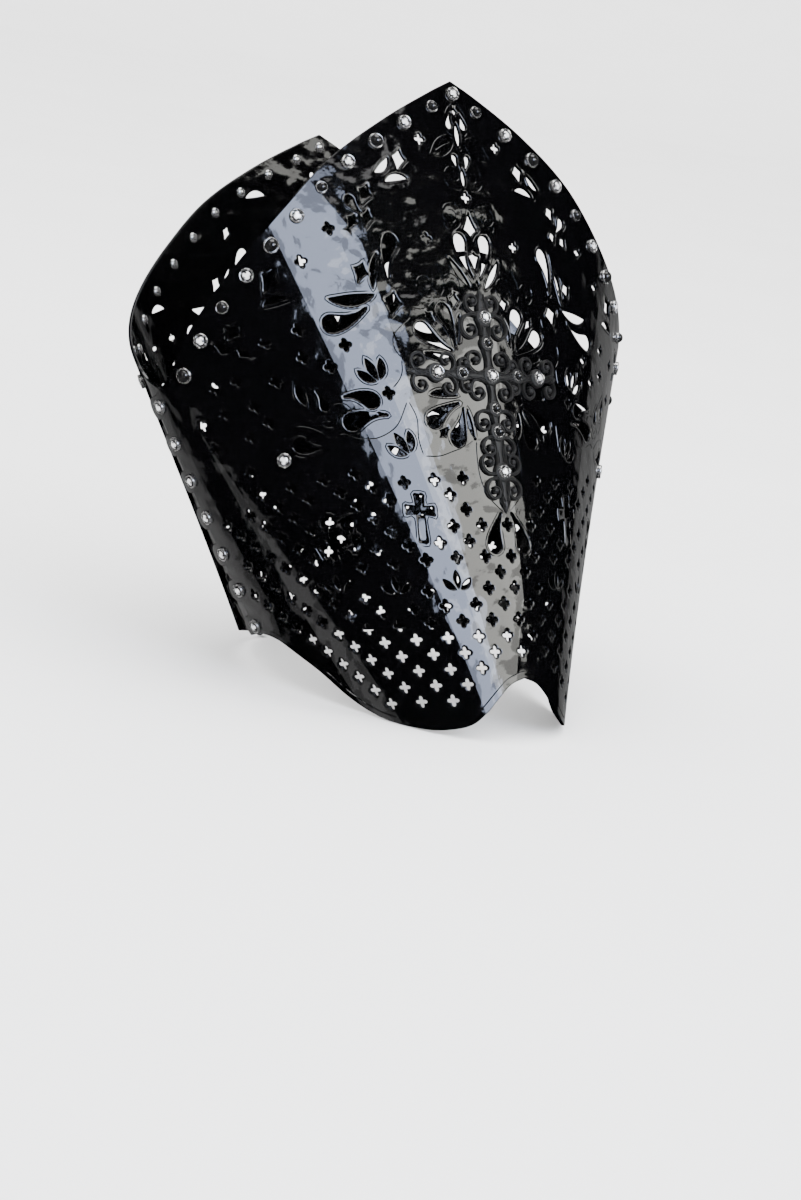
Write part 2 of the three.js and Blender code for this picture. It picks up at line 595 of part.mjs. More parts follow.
// Plates of the cross follow the panel's curve. Each is a little thicker than the one it runs into.
function makeCross() {
  const middle = crossMiddle * crownHeight;
  const [half, span] = [crossHeight / 2, crossSpan / 2];
  const spot = ({ along, beside }) => [beside * span, middle + along * half];
  const plate = (outline, extra) => sheetPrism('front', outline,
    -clearance - crossThickness - extra, -clearance);
  const bothSides = (rows) => [...rows.map(spot),
    ...rows.slice().reverse().map((row) => spot({ ...row, beside: -row.beside }))];
  const upAndDown = (rows) => [...rows.map(spot),
    ...rows.slice().reverse().map((row) => spot({ ...row, along: -row.along }))];
  const swap = (outline) => outline.map(([p, z]) => [-p, z]);
  const inner = upAndDown(crossArmInner);
  const outer = upAndDown(crossArmOuter);

  const mirrored = crossBosses.flatMap((row) => (row.beside > 0
    ? [row, { ...row, beside: -row.beside }] : [row]));
  const bosses = mirrored.map((row) => {
    const cut = row.stone === 'crystal';
    const foot = clearance + bossRoot;
    const top = clearance + crossThickness + (cut ? bossCrystalHeight : bossDomeHeight);
    const shoulder = cut ? [bossRadius / 2, top] : [bossRadius * 0.7, top - bossDomeHeight / 4];
    const profile = [[0, foot], [bossRadius, foot], shoulder, [0, top]];
    const stone = new THREE.LatheGeometry(profile.map(([x, y]) => new THREE.Vector2(x, y)), cut ? 8 : 10);
    return solidOfGeometry(stone, seatMatrix('front', ...spot(row)));
  });
  return plus(plate(bothSides(crossUpright), 0), [plate(inner, crossLap), plate(swap(inner), crossLap),
    plate(outer, 2 * crossLap), plate(swap(outer), 2 * crossLap), ...bosses]);
}

addSolid('front_panel', makeFrontPanel(), patent);
addSolid('back_panel', makeBackPanel(), patent);
addSolid('front_cross', makeCross(), crossEnamel);

frontSpots.forEach(([p, z], i) => {
  const [kind, radius] = studKinds(i);
  for (const [side, letter] of p > 0 ? [[1, 'L'], [-1, 'R']] : [[1, 'apex']]) {
    addStud(`edge_stud_${letter}${p > 0 ? i : ''}`, kind, radius, 'front', side * p, z);
  }
});
rivetHeights.forEach((z, i) => {
  for (const [side, letter] of [[1, 'L'], [-1, 'R']]) {
    addStud(`seam_stud_${letter}${i + 1}`, 'crystal', crystalRadius, 'front',
      side * seamDistance('front', z), z, [blanks.front, blanks.back]);
  }
});
for (const [side, letter] of [[1, 'L'], [-1, 'R']]) {
  const z = medallionSpot.up * crownHeight;
  addStud(`medallion_stud_${letter}`, 'crystal', crystalRadius, 'front',
    side * medallionSpot.across * seamDistance('front', z), z);
  const foot = napeSpot.up * crownHeight;
  addStud(`nape_stud_${letter}`, 'crystal', crystalRadius, 'back',
    side * napeSpot.across * seamDistance('back', foot), foot);
}

// The lean at which the face lobes and the back panel's lower edge touch one level surface.
function restLean() {
  const lowest = (face, lean) => {
    let best = Infinity;
    for (let i = 0; i <= 100; i += 1) {
      const z = lowerHeight(face, i / 100);
      const spot = skin(face, (i / 100) * seamDistance(face, z), z);
      best = Math.min(best, spot.z * Math.cos(lean) - spot.y * Math.sin(lean));
    }
    return best;
  };
  let [low, high] = [0, Math.PI / 4];
  for (let i = 0; i < halvings; i += 1) {
    const middle = (low + high) / 2;
    if (lowest('front', middle) < lowest('back', middle)) low = middle;
    else high = middle;
  }
  return (low + high) / 2;
}

// Stand the crown on its rim, with the middle of its box over the origin.
worn.rotation.x = -restLean();
mitre.updateMatrixWorld(true);
const box = new THREE.Box3().setFromObject(mitre, true);
worn.position.set(0, -(box.min.y + box.max.y) / 2, -box.min.z);

export default mitre;
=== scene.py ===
import math

import bmesh
import bpy
import numpy as np
from bpy.props import FloatProperty, FloatVectorProperty, IntProperty, PointerProperty
from mathutils import Matrix, Vector, geometry, kdtree


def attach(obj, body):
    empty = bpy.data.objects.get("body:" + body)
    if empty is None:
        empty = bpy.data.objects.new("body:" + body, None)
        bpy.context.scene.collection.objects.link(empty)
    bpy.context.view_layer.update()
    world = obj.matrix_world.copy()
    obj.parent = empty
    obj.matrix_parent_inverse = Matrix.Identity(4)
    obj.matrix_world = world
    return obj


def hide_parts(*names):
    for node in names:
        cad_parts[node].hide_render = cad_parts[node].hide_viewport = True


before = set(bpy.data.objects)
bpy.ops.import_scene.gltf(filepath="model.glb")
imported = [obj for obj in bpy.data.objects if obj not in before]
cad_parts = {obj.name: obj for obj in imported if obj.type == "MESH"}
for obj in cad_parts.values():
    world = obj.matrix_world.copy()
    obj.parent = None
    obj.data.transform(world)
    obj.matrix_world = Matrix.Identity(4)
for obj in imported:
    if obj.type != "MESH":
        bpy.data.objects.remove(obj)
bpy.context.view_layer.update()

bl_info = {
    "name": "Bishop Mitre",
    "version": (1, 0, 0),
    "blender": (4, 5, 0),
    "location": "View3D > Sidebar > Mitre",
    "description": "Pierced patent sheets, a scrollwork cross and studs on the frame of a mitre",
    "category": "Object",
}

MM = 0.001

# Sizes of the crown in millimetres, the same as its solids have.
CROWN_HEIGHT = 306.0
SEAM_HEIGHT = 124.0
BACK_APEX_DROP = 19.0
RIM_HALF_WIDTH = 88.5
FRONT_DEPTH = 109.0
BACK_DEPTH = 88.0
LOBE_DROP = 37.0
FRONT_CLIMB = 0.14
BACK_CLIMB = 0.115
ROW_SAG = 0.00152
WALL = 1.8
CLEARANCE = 0.3
BACK_LEVEL = WALL + CLEARANCE
SEAM_LAP = 3.0
TAB_REACH = 11.5
TAB_RADIUS = 5.8
TAB_EASE = ((0.0, 0.6), (0.25, 0.15), (0.9, 0.0))
UNDERLAP = 6.0
SEAM_STUDS = 7
SEAM_FOOT_MARGIN = 4.0
SEAM_HEAD_MARGIN = 6.0
EDGE_INSET = 7.2
EDGE_STUD_PITCH = 22.0
REST_LEAN = math.radians(15.7509)
REST_SHIFT = (-18.974, 8.925)
# The faceted solids lie a little inside the smooth surface, so the pieces are drawn in by these shares.
DRAWN_IN = np.array([0.999, 0.992, 0.998])
FOOT_LIFT = np.array([0.0, 0.0, 0.0003])
ROW_A = 39.0

# The plan section at three heights, as shares of the sizes above, and the bow of each half.
SECTION_KEYS = ("up", "half_width", "set_back", "front", "front_bow", "back", "back_bow")
SECTIONS = [dict(zip(SECTION_KEYS, row)) for row in (
    (0.00, 1.00, 0.000, 1.00, 1.07, 1.00, 1.34),
    (0.41, 1.66, 0.116, 0.88, 1.22, 0.79, 1.08),
    (1.00, 2.46, 0.315, 0.70, 1.43, 0.48, 0.80),
)]
# The sheets' edges: share of the way to the seam, and share of the edge's height.
UPPER_EDGE = ((0.00, 1.000), (0.06, 0.962), (0.20, 0.862), (0.36, 0.726), (0.50, 0.568), (0.68, 0.360),
              (0.80, 0.215), (0.92, 0.062), (1.00, 0.000))
LOWER_EDGE = ((0.00, 0.19), (0.06, 0.28), (0.11, 0.46), (0.16, 0.67), (0.22, 0.86), (0.30, 0.96), (0.39, 1.00),
              (0.53, 0.95), (0.61, 0.84), (0.68, 0.67), (0.76, 0.40), (0.84, 0.19), (0.90, 0.05), (0.95, 0.00),
              (1.00, 0.00))


# The crown's surface

def blend(column, up):
    """Parabola through the three rows of the section table."""
    a, b, c = SECTIONS
    x = np.asarray(up, float)
    return (a[column] * (x - b["up"]) * (x - c["up"]) / ((a["up"] - b["up"]) * (a["up"] - c["up"]))
            + b[column] * (x - a["up"]) * (x - c["up"]) / ((b["up"] - a["up"]) * (b["up"] - c["up"]))
            + c[column] * (x - a["up"]) * (x - b["up"]) / ((c["up"] - a["up"]) * (c["up"] - b["up"])))


def section_sizes(height):
    """Half width, set-back, depths and bows of the plan section at a height."""
    up = np.asarray(height, float) / CROWN_HEIGHT
    return (RIM_HALF_WIDTH * blend("half_width", up), RIM_HALF_WIDTH * blend("set_back", up),
            FRONT_DEPTH * blend("front", up), BACK_DEPTH * blend("back", up),
            blend("front_bow", up), blend("back_bow", up))


ANGLES = np.linspace(0, math.pi / 2, 181)


def plan_lengths(width, depth, bow):
    """Running length of each half section in plan, one row for each height."""
    x = width[:, None] * np.sin(ANGLES)
    y = depth[:, None] * np.abs(np.cos(ANGLES)) ** bow[:, None]
    steps = np.hypot(np.diff(x, axis=1), np.diff(y, axis=1))
    return np.concatenate([np.zeros((len(width), 1)), np.cumsum(steps, axis=1)], axis=1)


def angle_at(lengths, distance):
    """Plan angle at a running distance from the centre line."""
    rows = np.arange(len(distance))
    i = np.clip(np.sum(lengths < distance[:, None], axis=1), 1, len(ANGLES) - 1)
    low, high = lengths[rows, i - 1], lengths[rows, i]
    share = np.clip((distance - low) / np.maximum(high - low, 1e-9), 0, 1)
    return ANGLES[i - 1] + share * (ANGLES[i] - ANGLES[i - 1])


def crown_point(angle, height, on_front, side):
    """A point of the crown's skin from its plan angle and height."""
    width, seam_y, front, back, front_bow, back_bow = section_sizes(height)
    depth = np.where(on_front, front, back)
    reach = np.abs(np.cos(angle)) ** np.where(on_front, front_bow, back_bow)
    climb = np.where(on_front, FRONT_CLIMB, BACK_CLIMB)
    return np.stack([side * width * np.sin(angle), seam_y + np.where(on_front, -1, 1) * depth * reach,
                     height + FRONT_CLIMB * front - climb * depth * reach], axis=1)


def lay_chunk(face, across, height):
    """Points and normals of one batch, past the seams too."""
    width, seam_y, front, back, front_bow, back_bow = section_sizes(height)
    own, other = (front, front_bow), (back, back_bow)
    if face == "back":
        own, other = other, own
    own_lengths = plan_lengths(width, *own)
    other_lengths = plan_lengths(width, *other)
    distance = np.abs(across)
    beyond = distance > own_lengths[:, -1]
    angle = np.where(beyond, angle_at(other_lengths, other_lengths[:, -1] - (distance - own_lengths[:, -1])),
                     angle_at(own_lengths, distance))
    on_front = beyond if face == "back" else ~beyond
    side = np.where(across < 0, -1.0, 1.0)
    points = crown_point(angle, height, on_front, side)
    near = np.minimum(angle, math.pi / 2 - 0.004)
    across_step, up_step = ((crown_point(near + a, height + z, on_front, side)
                             - crown_point(near - a, height - z, on_front, side)) for a, z in ((0.003, 0), (0, 0.5)))
    normals = np.cross(across_step, up_step)
    normals /= np.linalg.norm(normals, axis=1)[:, None]
    outwards = np.stack([points[:, 0], points[:, 1] - seam_y, np.zeros(len(points))], axis=1)
    normals[np.sum(normals * outwards, axis=1) < 0] *= -1
    return points, normals


def lay(face, across, height):
    """Points and outward normals of the crown's outer skin, in the upright frame and millimetres."""
    across, height = np.asarray(across, float), np.asarray(height, float)
    parts = [lay_chunk(face, across[i:i + 3000], height[i:i + 3000]) for i in range(0, len(across), 3000)]
    return np.concatenate([p for p, _ in parts]), np.concatenate([n for _, n in parts])


def seam_distance(face, height):
    """Running distance from the centre line to the seam."""
    heights = np.atleast_1d(np.asarray(height, float))
    width, _, front, back, front_bow, back_bow = section_sizes(heights)
    own = (front, front_bow) if face == "front" else (back, back_bow)
    return plan_lengths(width, *own)[:, -1]


def stand(points):
    """The upright crown leant back on its rim, in metres."""
    c, s = math.cos(REST_LEAN), math.sin(REST_LEAN)
    x, y, z = points[:, 0], points[:, 1], points[:, 2]
    return np.stack([x, y * c + z * s + REST_SHIFT[0], z * c - y * s + REST_SHIFT[1]], axis=1) * MM


def settle(points):
    """Places of the pieces: the leant crown, kept inside the box of its solids."""
    return stand(points) * DRAWN_IN + FOOT_LIFT


def lean(vectors):
    """Directions turned as the crown is leant back."""
    c, s = math.cos(REST_LEAN), math.sin(REST_LEAN)
    x, y, z = vectors[:, 0], vectors[:, 1], vectors[:, 2]
    return np.stack([x, y * c + z * s, z * c - y * s], axis=1)


# Edges of the two sheets

def edge_value(table, across):
    """Smooth curve through the rows of an edge table."""
    x = min(max(across, 0.0), 1.0)
    i = 0
    while i < len(table) - 2 and x > table[i + 1][0]:
        i += 1

    def slope(k):
        low, high = table[max(k - 1, 0)], table[min(k + 1, len(table) - 1)]
        return (high[1] - low[1]) / (high[0] - low[0])

    (x0, y0), (x1, y1) = table[i], table[i + 1]
    span = x1 - x0
    t = (x - x0) / span
    return ((2 * t ** 3 - 3 * t ** 2 + 1) * y0 + (t ** 3 - 2 * t ** 2 + t) * span * slope(i)
            + (3 * t ** 2 - 2 * t ** 3) * y1 + (t ** 3 - t ** 2) * span * slope(i + 1))


def upper_height(face, across):
    """Height of the upper edge at a share of the way to the seam."""
    apex = CROWN_HEIGHT - (BACK_APEX_DROP if face == "back" else 0.0)
    return SEAM_HEIGHT + (apex - SEAM_HEIGHT) * edge_value(UPPER_EDGE, across)


def level_foot(shares):
    """Heights at which the back sheet's columns reach the level of the seams' foot."""
    front = section_sizes(0.0)[2]
    level = FRONT_CLIMB * float(front)
    low, high = np.full(len(shares), -CROWN_HEIGHT / 2), np.full(len(shares), CROWN_HEIGHT / 2)
    for _ in range(30):
        middle = (low + high) / 2
        points, _ = lay("back", np.array(shares) * seam_distance("back", middle) * 0.9999, middle)
        below = points[:, 2] < level
        low, high = np.where(below, middle, low), np.where(below, high, middle)
    return (low + high) / 2


def mirrored(right):
    """A closed outline from its right half, which starts and ends on the centre line."""
    return right + [(-x, y) for x, y in reversed(right) if abs(x) > 1e-6]


def rivet_heights():
    """Heights of the seam rivets."""
    pitch = (SEAM_HEIGHT - SEAM_FOOT_MARGIN - SEAM_HEAD_MARGIN) / (SEAM_STUDS - 1)
    return [SEAM_FOOT_MARGIN + i * pitch for i in range(SEAM_STUDS)]


def upper_line(face, steps, reach=0.0):
    """The upper edge, from the point down to the seam."""
    line = []
    for i in range(steps + 1):
        share = i / steps
        z = upper_height(face, share)
        line.append((share * (float(seam_distance(face, z)[0]) + reach), z))
    return line


def front_outline():
    """The front sheet's outline: scalloped rim, a tab round each rivet and the pointed top."""
    lower = []
    for i in range(111):
        share = i / 110
        z = -LOBE_DROP * edge_value(LOWER_EDGE, share)
        lower.append((share * float(seam_distance("front", z)[0]), z))
    scallops = []
    shoulder = TAB_REACH - TAB_RADIUS
    for z in rivet_heights():
        scallops += [(SEAM_LAP + x, z - TAB_RADIUS - fall) for x, fall in TAB_EASE]
        scallops += [(shoulder + TAB_RADIUS * math.cos(a), z + TAB_RADIUS * math.sin(a))
                     for a in np.linspace(-math.pi / 2, math.pi / 2, 19)]
        scallops += [(SEAM_LAP + x, z + TAB_RADIUS + rise) for x, rise in reversed(TAB_EASE)]
    scallops = [(x, z) for x, z in scallops if 0.05 < z < SEAM_HEIGHT - 0.05]
    side = [(scallops[0][0], 0.0)] + scallops + [(SEAM_LAP, SEAM_HEIGHT)]
    side = [(float(seam_distance("front", z)[0]) + x, z) for x, z in side]
    return mirrored(lower + side + upper_line("front", 150)[::-1])


def back_outline():
    """The back sheet's outline, level at the foot and tucked under the front sheet at its sides."""
    shares = [i / 90 for i in range(91)]
    feet = level_foot(shares)
    reach = seam_distance("back", feet) + UNDERLAP
    lower = [(share * float(far), float(z)) for share, far, z in zip(shares, reach, feet)]
    foot = lower[-1][1]
    side = [(float(seam_distance("back", z)[0]) + UNDERLAP, z)
            for z in np.linspace(foot, SEAM_HEIGHT, 40)[1:-1]]
    upper = upper_line("back", 130, UNDERLAP)[::-1]
    return mirrored(lower + [(x, float(z)) for x, z in side] + upper)


def edge_spots(face):
    """Places of the studs along an upper edge, at an even pitch."""
    line = upper_line(face, 400)
    inset = []
    for i, (p, z) in enumerate(line):
        before, after = line[max(i - 1, 0)], line[min(i + 1, 400)]
        dp, dz = after[0] - before[0], after[1] - before[1]
        length = math.hypot(dp, dz)
        inset.append((0.0, z - EDGE_INSET) if i == 0
                     else (p + dz / length * EDGE_INSET, z - dp / length * EDGE_INSET))
    spots, walked = [inset[0]], 0.0
    for i in range(1, len(inset)):
        walked += math.hypot(inset[i][0] - inset[i - 1][0], inset[i][1] - inset[i - 1][1])
        room = inset[i][1] > SEAM_HEIGHT + EDGE_INSET - SEAM_HEAD_MARGIN
        if walked >= len(spots) * EDGE_STUD_PITCH and inset[i][0] > 0 and room:
            spots.append(inset[i])
    return spots


# Outlines of the cut-outs, in the flat pattern: across from the centre line and up from row A

def along(start, end, bend, t):
    """Points and left-hand normals of a bowed line."""
    a, b = np.array(start, float), np.array(end, float)
    left = np.array([-(b - a)[1], (b - a)[0]])
    c = (a + b) / 2 + left * bend
    t = np.asarray(t)[:, None]
    points = (1 - t) ** 2 * a + 2 * t * (1 - t) * c + t ** 2 * b
    tangent = 2 * (1 - t) * (c - a) + 2 * t * (b - c)
    tangent /= np.linalg.norm(tangent, axis=1)[:, None]
    return points, np.stack([-tangent[:, 1], tangent[:, 0]], axis=1)


def blade(start, end, width, bend, profile):
    """A long cut-out along a bowed line, with its width from a profile."""
    t = (1 - np.cos(np.linspace(0, math.pi, 15))) / 2
    points, normals = along(start, end, bend, t)
    half = width / 2 * np.array([profile(x) for x in t])
    left, right = points + normals * half[:, None], points - normals * half[:, None]
    ends = [tuple(points[0])] + [tuple(q) for q in right[1:-1]] + [tuple(points[-1])]
    return ends + [tuple(q) for q in left[-2:0:-1]]


def comma(bulb, tail, width, bend=0.0):
    """A drop with its round end at the bulb and a bowed, hollowed tail."""
    peak = width / 2 / math.dist(bulb, tail)

    def profile(t):
        if t < peak:
            return math.sqrt(max(1 - (1 - t / peak) ** 2, 0))
        rest = (t - peak) / (1 - peak)
        return 0.93 * (0.5 + 0.5 * math.cos(math.pi * rest ** 0.72)) ** 0.8 + 0.07
    return blade(bulb, tail, width, bend, profile)


def leaf(start, end, width, bend=0.0):
    """A cut-out pointed at both ends."""
    return blade(start, end, width, bend, lambda t: math.sin(math.pi * min(max(t, 0.01), 0.99)) ** 0.8)


def kite(middle, tall, wide, turn=0.0, waist=0.1, hollow=0.14):
    """Four points joined by hollowed sides."""
    corners = [(0, -tall / 2), (wide / 2, tall * waist), (0, tall / 2), (-wide / 2, tall * waist)]
    points = []
    for i in range(4):
        (x0, y0), (x1, y1) = corners[i], corners[(i + 1) % 4]
        for t in (0.0, 0.2, 0.4, 0.6, 0.8):
            pull = 1 - hollow * 4 * t * (1 - t)
            points.append(((x0 + (x1 - x0) * t) * pull, (y0 + (y1 - y0) * t) * pull))
    return placed(points, middle, turn)


def petals(middle, radius, turn=0.0):
    """A small cross of four petals."""
    points = []
    for i in range(24):
        a = math.pi * i / 12
        r = radius * (0.44 + 0.56 * abs(math.cos(2 * a)) ** 1.3)
        points.append((r * math.cos(a), r * math.sin(a)))
    return placed(points, middle, turn)


def latin_cross(middle, tall, wide, turn=0.0):
    """A small cross with its bar above the middle."""
    arm, bar = wide * 0.13, tall * 0.17
    half = [(arm, -tall / 2), (arm, bar - arm), (wide / 2, bar - arm * 1.15), (wide / 2, bar + arm * 1.15),
            (arm, bar + arm), (arm * 1.15, tall / 2)]
    return placed(half + [(-x, y) for x, y in reversed(half)], middle, turn)


LILY = ((0.10, 0.38), (0.17, 0.25), (0.14, 0.11), (0.10, 0.02), (0.16, 0.07), (0.23, 0.20), (0.35, 0.26),
        (0.47, 0.19), (0.50, 0.05), (0.44, -0.05), (0.38, -0.01), (0.34, 0.06), (0.28, 0.02), (0.20, -0.10),
        (0.13, -0.14), (0.18, -0.17), (0.16, -0.22), (0.10, -0.22), (0.14, -0.32), (0.24, -0.38), (0.16, -0.43),
        (0.06, -0.41))


def lily(middle, tall, wide, turn=0.0):
    """A fleur-de-lis."""
    right = [(x * wide, y * tall) for x, y in LILY]
    points = [(0, tall / 2)] + right + [(0, -tall / 2)] + [(-x, y) for x, y in reversed(right)]
    return placed(rounded(points), middle, turn)


def sprig(root, size, turn=0.0, spread=52):
    """Three leaves that open from one root."""
    loops = []
    for angle, share in ((-spread, 0.92), (0, 1.0), (spread, 0.92)):
        a = math.radians(90 + angle + turn)
        d = (math.cos(a), math.sin(a))
        start = (root[0] + d[0] * size * 0.22, root[1] + d[1] * size * 0.22)
        end = (root[0] + d[0] * size * share, root[1] + d[1] * size * share)
        loops.append(leaf(start, end, size * 0.27, 0.0 if angle == 0 else math.copysign(0.12, angle)))
    return loops


def left_of(line):
    """Unit normals on the left of an open line."""
    ahead = np.gradient(line, axis=0)
    ahead /= np.maximum(np.linalg.norm(ahead, axis=1), 1e-9)[:, None]
    return np.stack([-ahead[:, 1], ahead[:, 0]], axis=1)


def wound(loop, anticlockwise):
    """The loop without doubled points, wound the way that is asked."""
    kept = [q for i, q in enumerate(loop) if math.dist(q, loop[i - 1]) > 0.04]
    area = sum(a[0] * b[1] - b[0] * a[1] for a, b in zip(kept, kept[1:] + kept[:1]))
    return kept if (area > 0) == anticlockwise else kept[::-1]


def set_in(loop, distance):
    """The loop moved to its left, into the sheet."""
    a = np.array(loop)
    before, after = a - np.roll(a, 1, axis=0), np.roll(a, -1, axis=0) - a
    before /= np.linalg.norm(before, axis=1)[:, None]
    after /= np.linalg.norm(after, axis=1)[:, None]
    first = np.stack([-before[:, 1], before[:, 0]], axis=1)
    second = np.stack([-after[:, 1], after[:, 0]], axis=1)
    middle = first + second
    size = np.linalg.norm(middle, axis=1)[:, None]
    middle = np.where(size > 0.2, middle / np.maximum(size, 1e-9), before)
    reach = np.clip(np.sum(middle * first, axis=1), 0.6, 1)[:, None]
    return a + middle * distance / reach


def placed(points, middle, turn):
    """Points turned by degrees and moved to a middle."""
    a = math.radians(turn)
    c, s = math.cos(a), math.sin(a)
    return [(middle[0] + x * c - y * s, middle[1] + x * s + y * c) for x, y in points]


def rounded(points):
    """One pass of corner cutting on a closed outline."""
    cut = []
    for i, (x0, y0) in enumerate(points):
        x1, y1 = points[(i + 1) % len(points)]
        cut += [(x0 * 0.78 + x1 * 0.22, y0 * 0.78 + y1 * 0.22), (x0 * 0.22 + x1 * 0.78, y0 * 0.22 + y1 * 0.78)]
    return cut


def volute(root, centre, hand, turns=1.5, end=0.2, steps=34):
    """A scroll that leaves its root and winds in round its centre."""
    dx, dy = root[0] - centre[0], root[1] - centre[1]
    radius, start = math.hypot(dx, dy), math.atan2(dy, dx)
    path = []
    for i in range(steps + 1):
        t = i / steps
        r = radius * end ** t
        a = start + hand * 2 * math.pi * turns * t
        path.append((centre[0] + r * math.cos(a), centre[1] + r * math.sin(a)))
    return path


def curve_through(points, step=1.2):
    """Smooth open line through points, resampled to even steps."""
    pts = np.array(points, float)
    padded_pts = np.vstack([2 * pts[0] - pts[1], pts, 2 * pts[-1] - pts[-2]])
    fine = []
    for i in range(1, len(padded_pts) - 2):
        p0, p1, p2, p3 = padded_pts[i - 1:i + 3]
        for t in np.linspace(0, 1, 12, endpoint=False):
            fine.append(0.5 * (2 * p1 + (p2 - p0) * t + (2 * p0 - 5 * p1 + 4 * p2 - p3) * t ** 2
                               + (3 * p1 - p0 - 3 * p2 + p3) * t ** 3))
    fine.append(pts[-1])
    fine = np.array(fine)
    run = np.concatenate([[0], np.cumsum(np.hypot(*np.diff(fine, axis=0).T))])
    marks = np.linspace(0, run[-1], max(int(run[-1] / step), 3) + 1)
    return [(float(x), float(y)) for x, y in zip(np.interp(marks, run, fine[:, 0]), np.interp(marks, run, fine[:, 1]))]


def centre_cutouts():
    """Cut-outs on the centre line, the same on both sheets."""
    return [
        kite((0, 249.9), 4.6, 3.0), leaf((0, 243.9), (0, 231.0), 3.4), leaf((0, 219.4), (0, 209.4), 2.8),
        petals((0, 204), 3.1), kite((0, 189.4), 12.6, 8.4, waist=-0.2, hollow=0.08),
        kite((0, 169.6), 9.6, 7.0, waist=0.34, hollow=0.1), leaf((0, 159.6), (0, 155.9), 1.5),
    ]


def half_cutouts():
    """Cut-outs of one half, the same on both sheets."""
    loops = [
        comma((4.7, 240.8), (2.9, 249.4), 4.1, -0.16), comma((4.4, 226.8), (1.9, 218.6), 3.6, 0.14),
        comma((7.9, 184.4), (2.4, 161.6), 8.0, 0.2), leaf((16.4, 170.6), (5.2, 156.2), 3.5, 0.06),
        petals((25.7, 233), 3.1), kite((40.6, 220.4), 11.4, 7.6, 12, hollow=0.1),
        leaf((47.0, 221.0), (55.6, 212.6), 3.7, -0.2), leaf((36.6, 211.0), (50.0, 208.2), 3.6, 0.22),
        kite((63.3, 200.2), 11.4, 6.8, 24), comma((73.6, 198.4), (66.8, 190.4), 5.4, 0.12),
        kite((63.4, 187.4), 9.4, 5.2, 14), kite((72.2, 185.0), 9.0, 5.6, 30),
        comma((49.3, 180.0), (54.6, 156.4), 8.4, 0.2), leaf((60.2, 169.6), (64.4, 151.8), 3.1, 0.12),
        leaf((64.6, 147.8), (88.8, 143.6), 5.4, -0.16), comma((93.4, 130.2), (69.2, 140.6), 9.0, 0.2),
        kite((54, 144.0), 12.0, 8.8, 12, hollow=0.08), kite((70.4, 158.8), 10.4, 7.0, 20),
        kite((16.8, 148), 8.0, 5.4, 8),
        kite((119.0, 150.2), 14.6, 8.4, 26), leaf((110.4, 141.8), (122.6, 137.2), 3.5, 0.22),
        kite((139.9, 121.6), 9.4, 5.8, 30), kite((146.0, 113.0), 8.6, 5.2, 118), kite((134.6, 111.6), 8.6, 5.2, -60),
        comma((112.8, 68.2), (99.4, 65.8), 8.0, 0.24), comma((67.6, 90.6), (85.4, 93.4), 8.2, 0.24),
        comma((85.6, 77.6), (63.6, 85.8), 8.4, -0.2), comma((95.2, 85.2), (99.6, 95.4), 4.4, 0.18),
        leaf((105.4, 87.4), (108.8, 98.4), 3.4, -0.12),
        latin_cross((50.4, 33.6), 23.6, 14.0, -1), lily((93.4, 20.6), 29.0, 23.0, 34),
    ]
    loops += sprig((65.4, 101.6), 14.0, -30, 34) + sprig((52.4, 65.2), 13.6, -36, 34)
    for root in ((33.4, -3.2), (65.0, -7.4), (94.6, -10.0)):
        loops += sprig(root, 10.6, math.degrees(math.atan(-2 * ROW_SAG * root[0])), 48)
    small = ((85.6, 180.4), (102, 161.8), (29.6, 179.7), (82.5, 120.4), (91.1, 108.4), (61.6, 97.2),
             (104.6, 112.0), (131, 84.5), (124.4, 77.0), (134.6, 68.5), (151.2, 91.8), (161.3, 71.2), (137.1, 50.0),
             (119.4, 98.4), (139.6, 97.0), (147.4, 79.0), (155.0, 60.0), (123.4, 118.0), (106.0, 126.2))
    loops += [petals(spot, 3.2, math.degrees(math.atan(-2 * ROW_SAG * spot[0]))) for spot in small]
    return loops


def cross_corner_cutouts():
    """Cut-outs of one half between the arms of the cross, on the front sheet alone."""
    return [
        comma((27.0, 145.6), (19.6, 124.0), 8.6, -0.14), comma((41.6, 134.6), (21.6, 121.8), 8.4, 0.14),
        kite((33.0, 138.2), 7.0, 3.8, -45, waist=0.2), leaf((14.9, 140.6), (17.2, 126.2), 2.6, 0.08),
        leaf((38.4, 119.6), (23.0, 118.7), 2.7, 0.1),
        comma((40.4, 81.6), (21.8, 94.2), 8.4, -0.14), comma((27.2, 72.6), (19.6, 91.8), 8.6, 0.14),
        kite((32.4, 79.0), 7.0, 3.8, -135, waist=0.2), leaf((37.6, 98.4), (23.2, 98.6), 2.6, -0.1),
        leaf((14.7, 77.0), (17.0, 90.6), 2.6, -0.08), comma((9.9, 17.6), (3.6, 38.0), 8.6, -0.14),
    ]


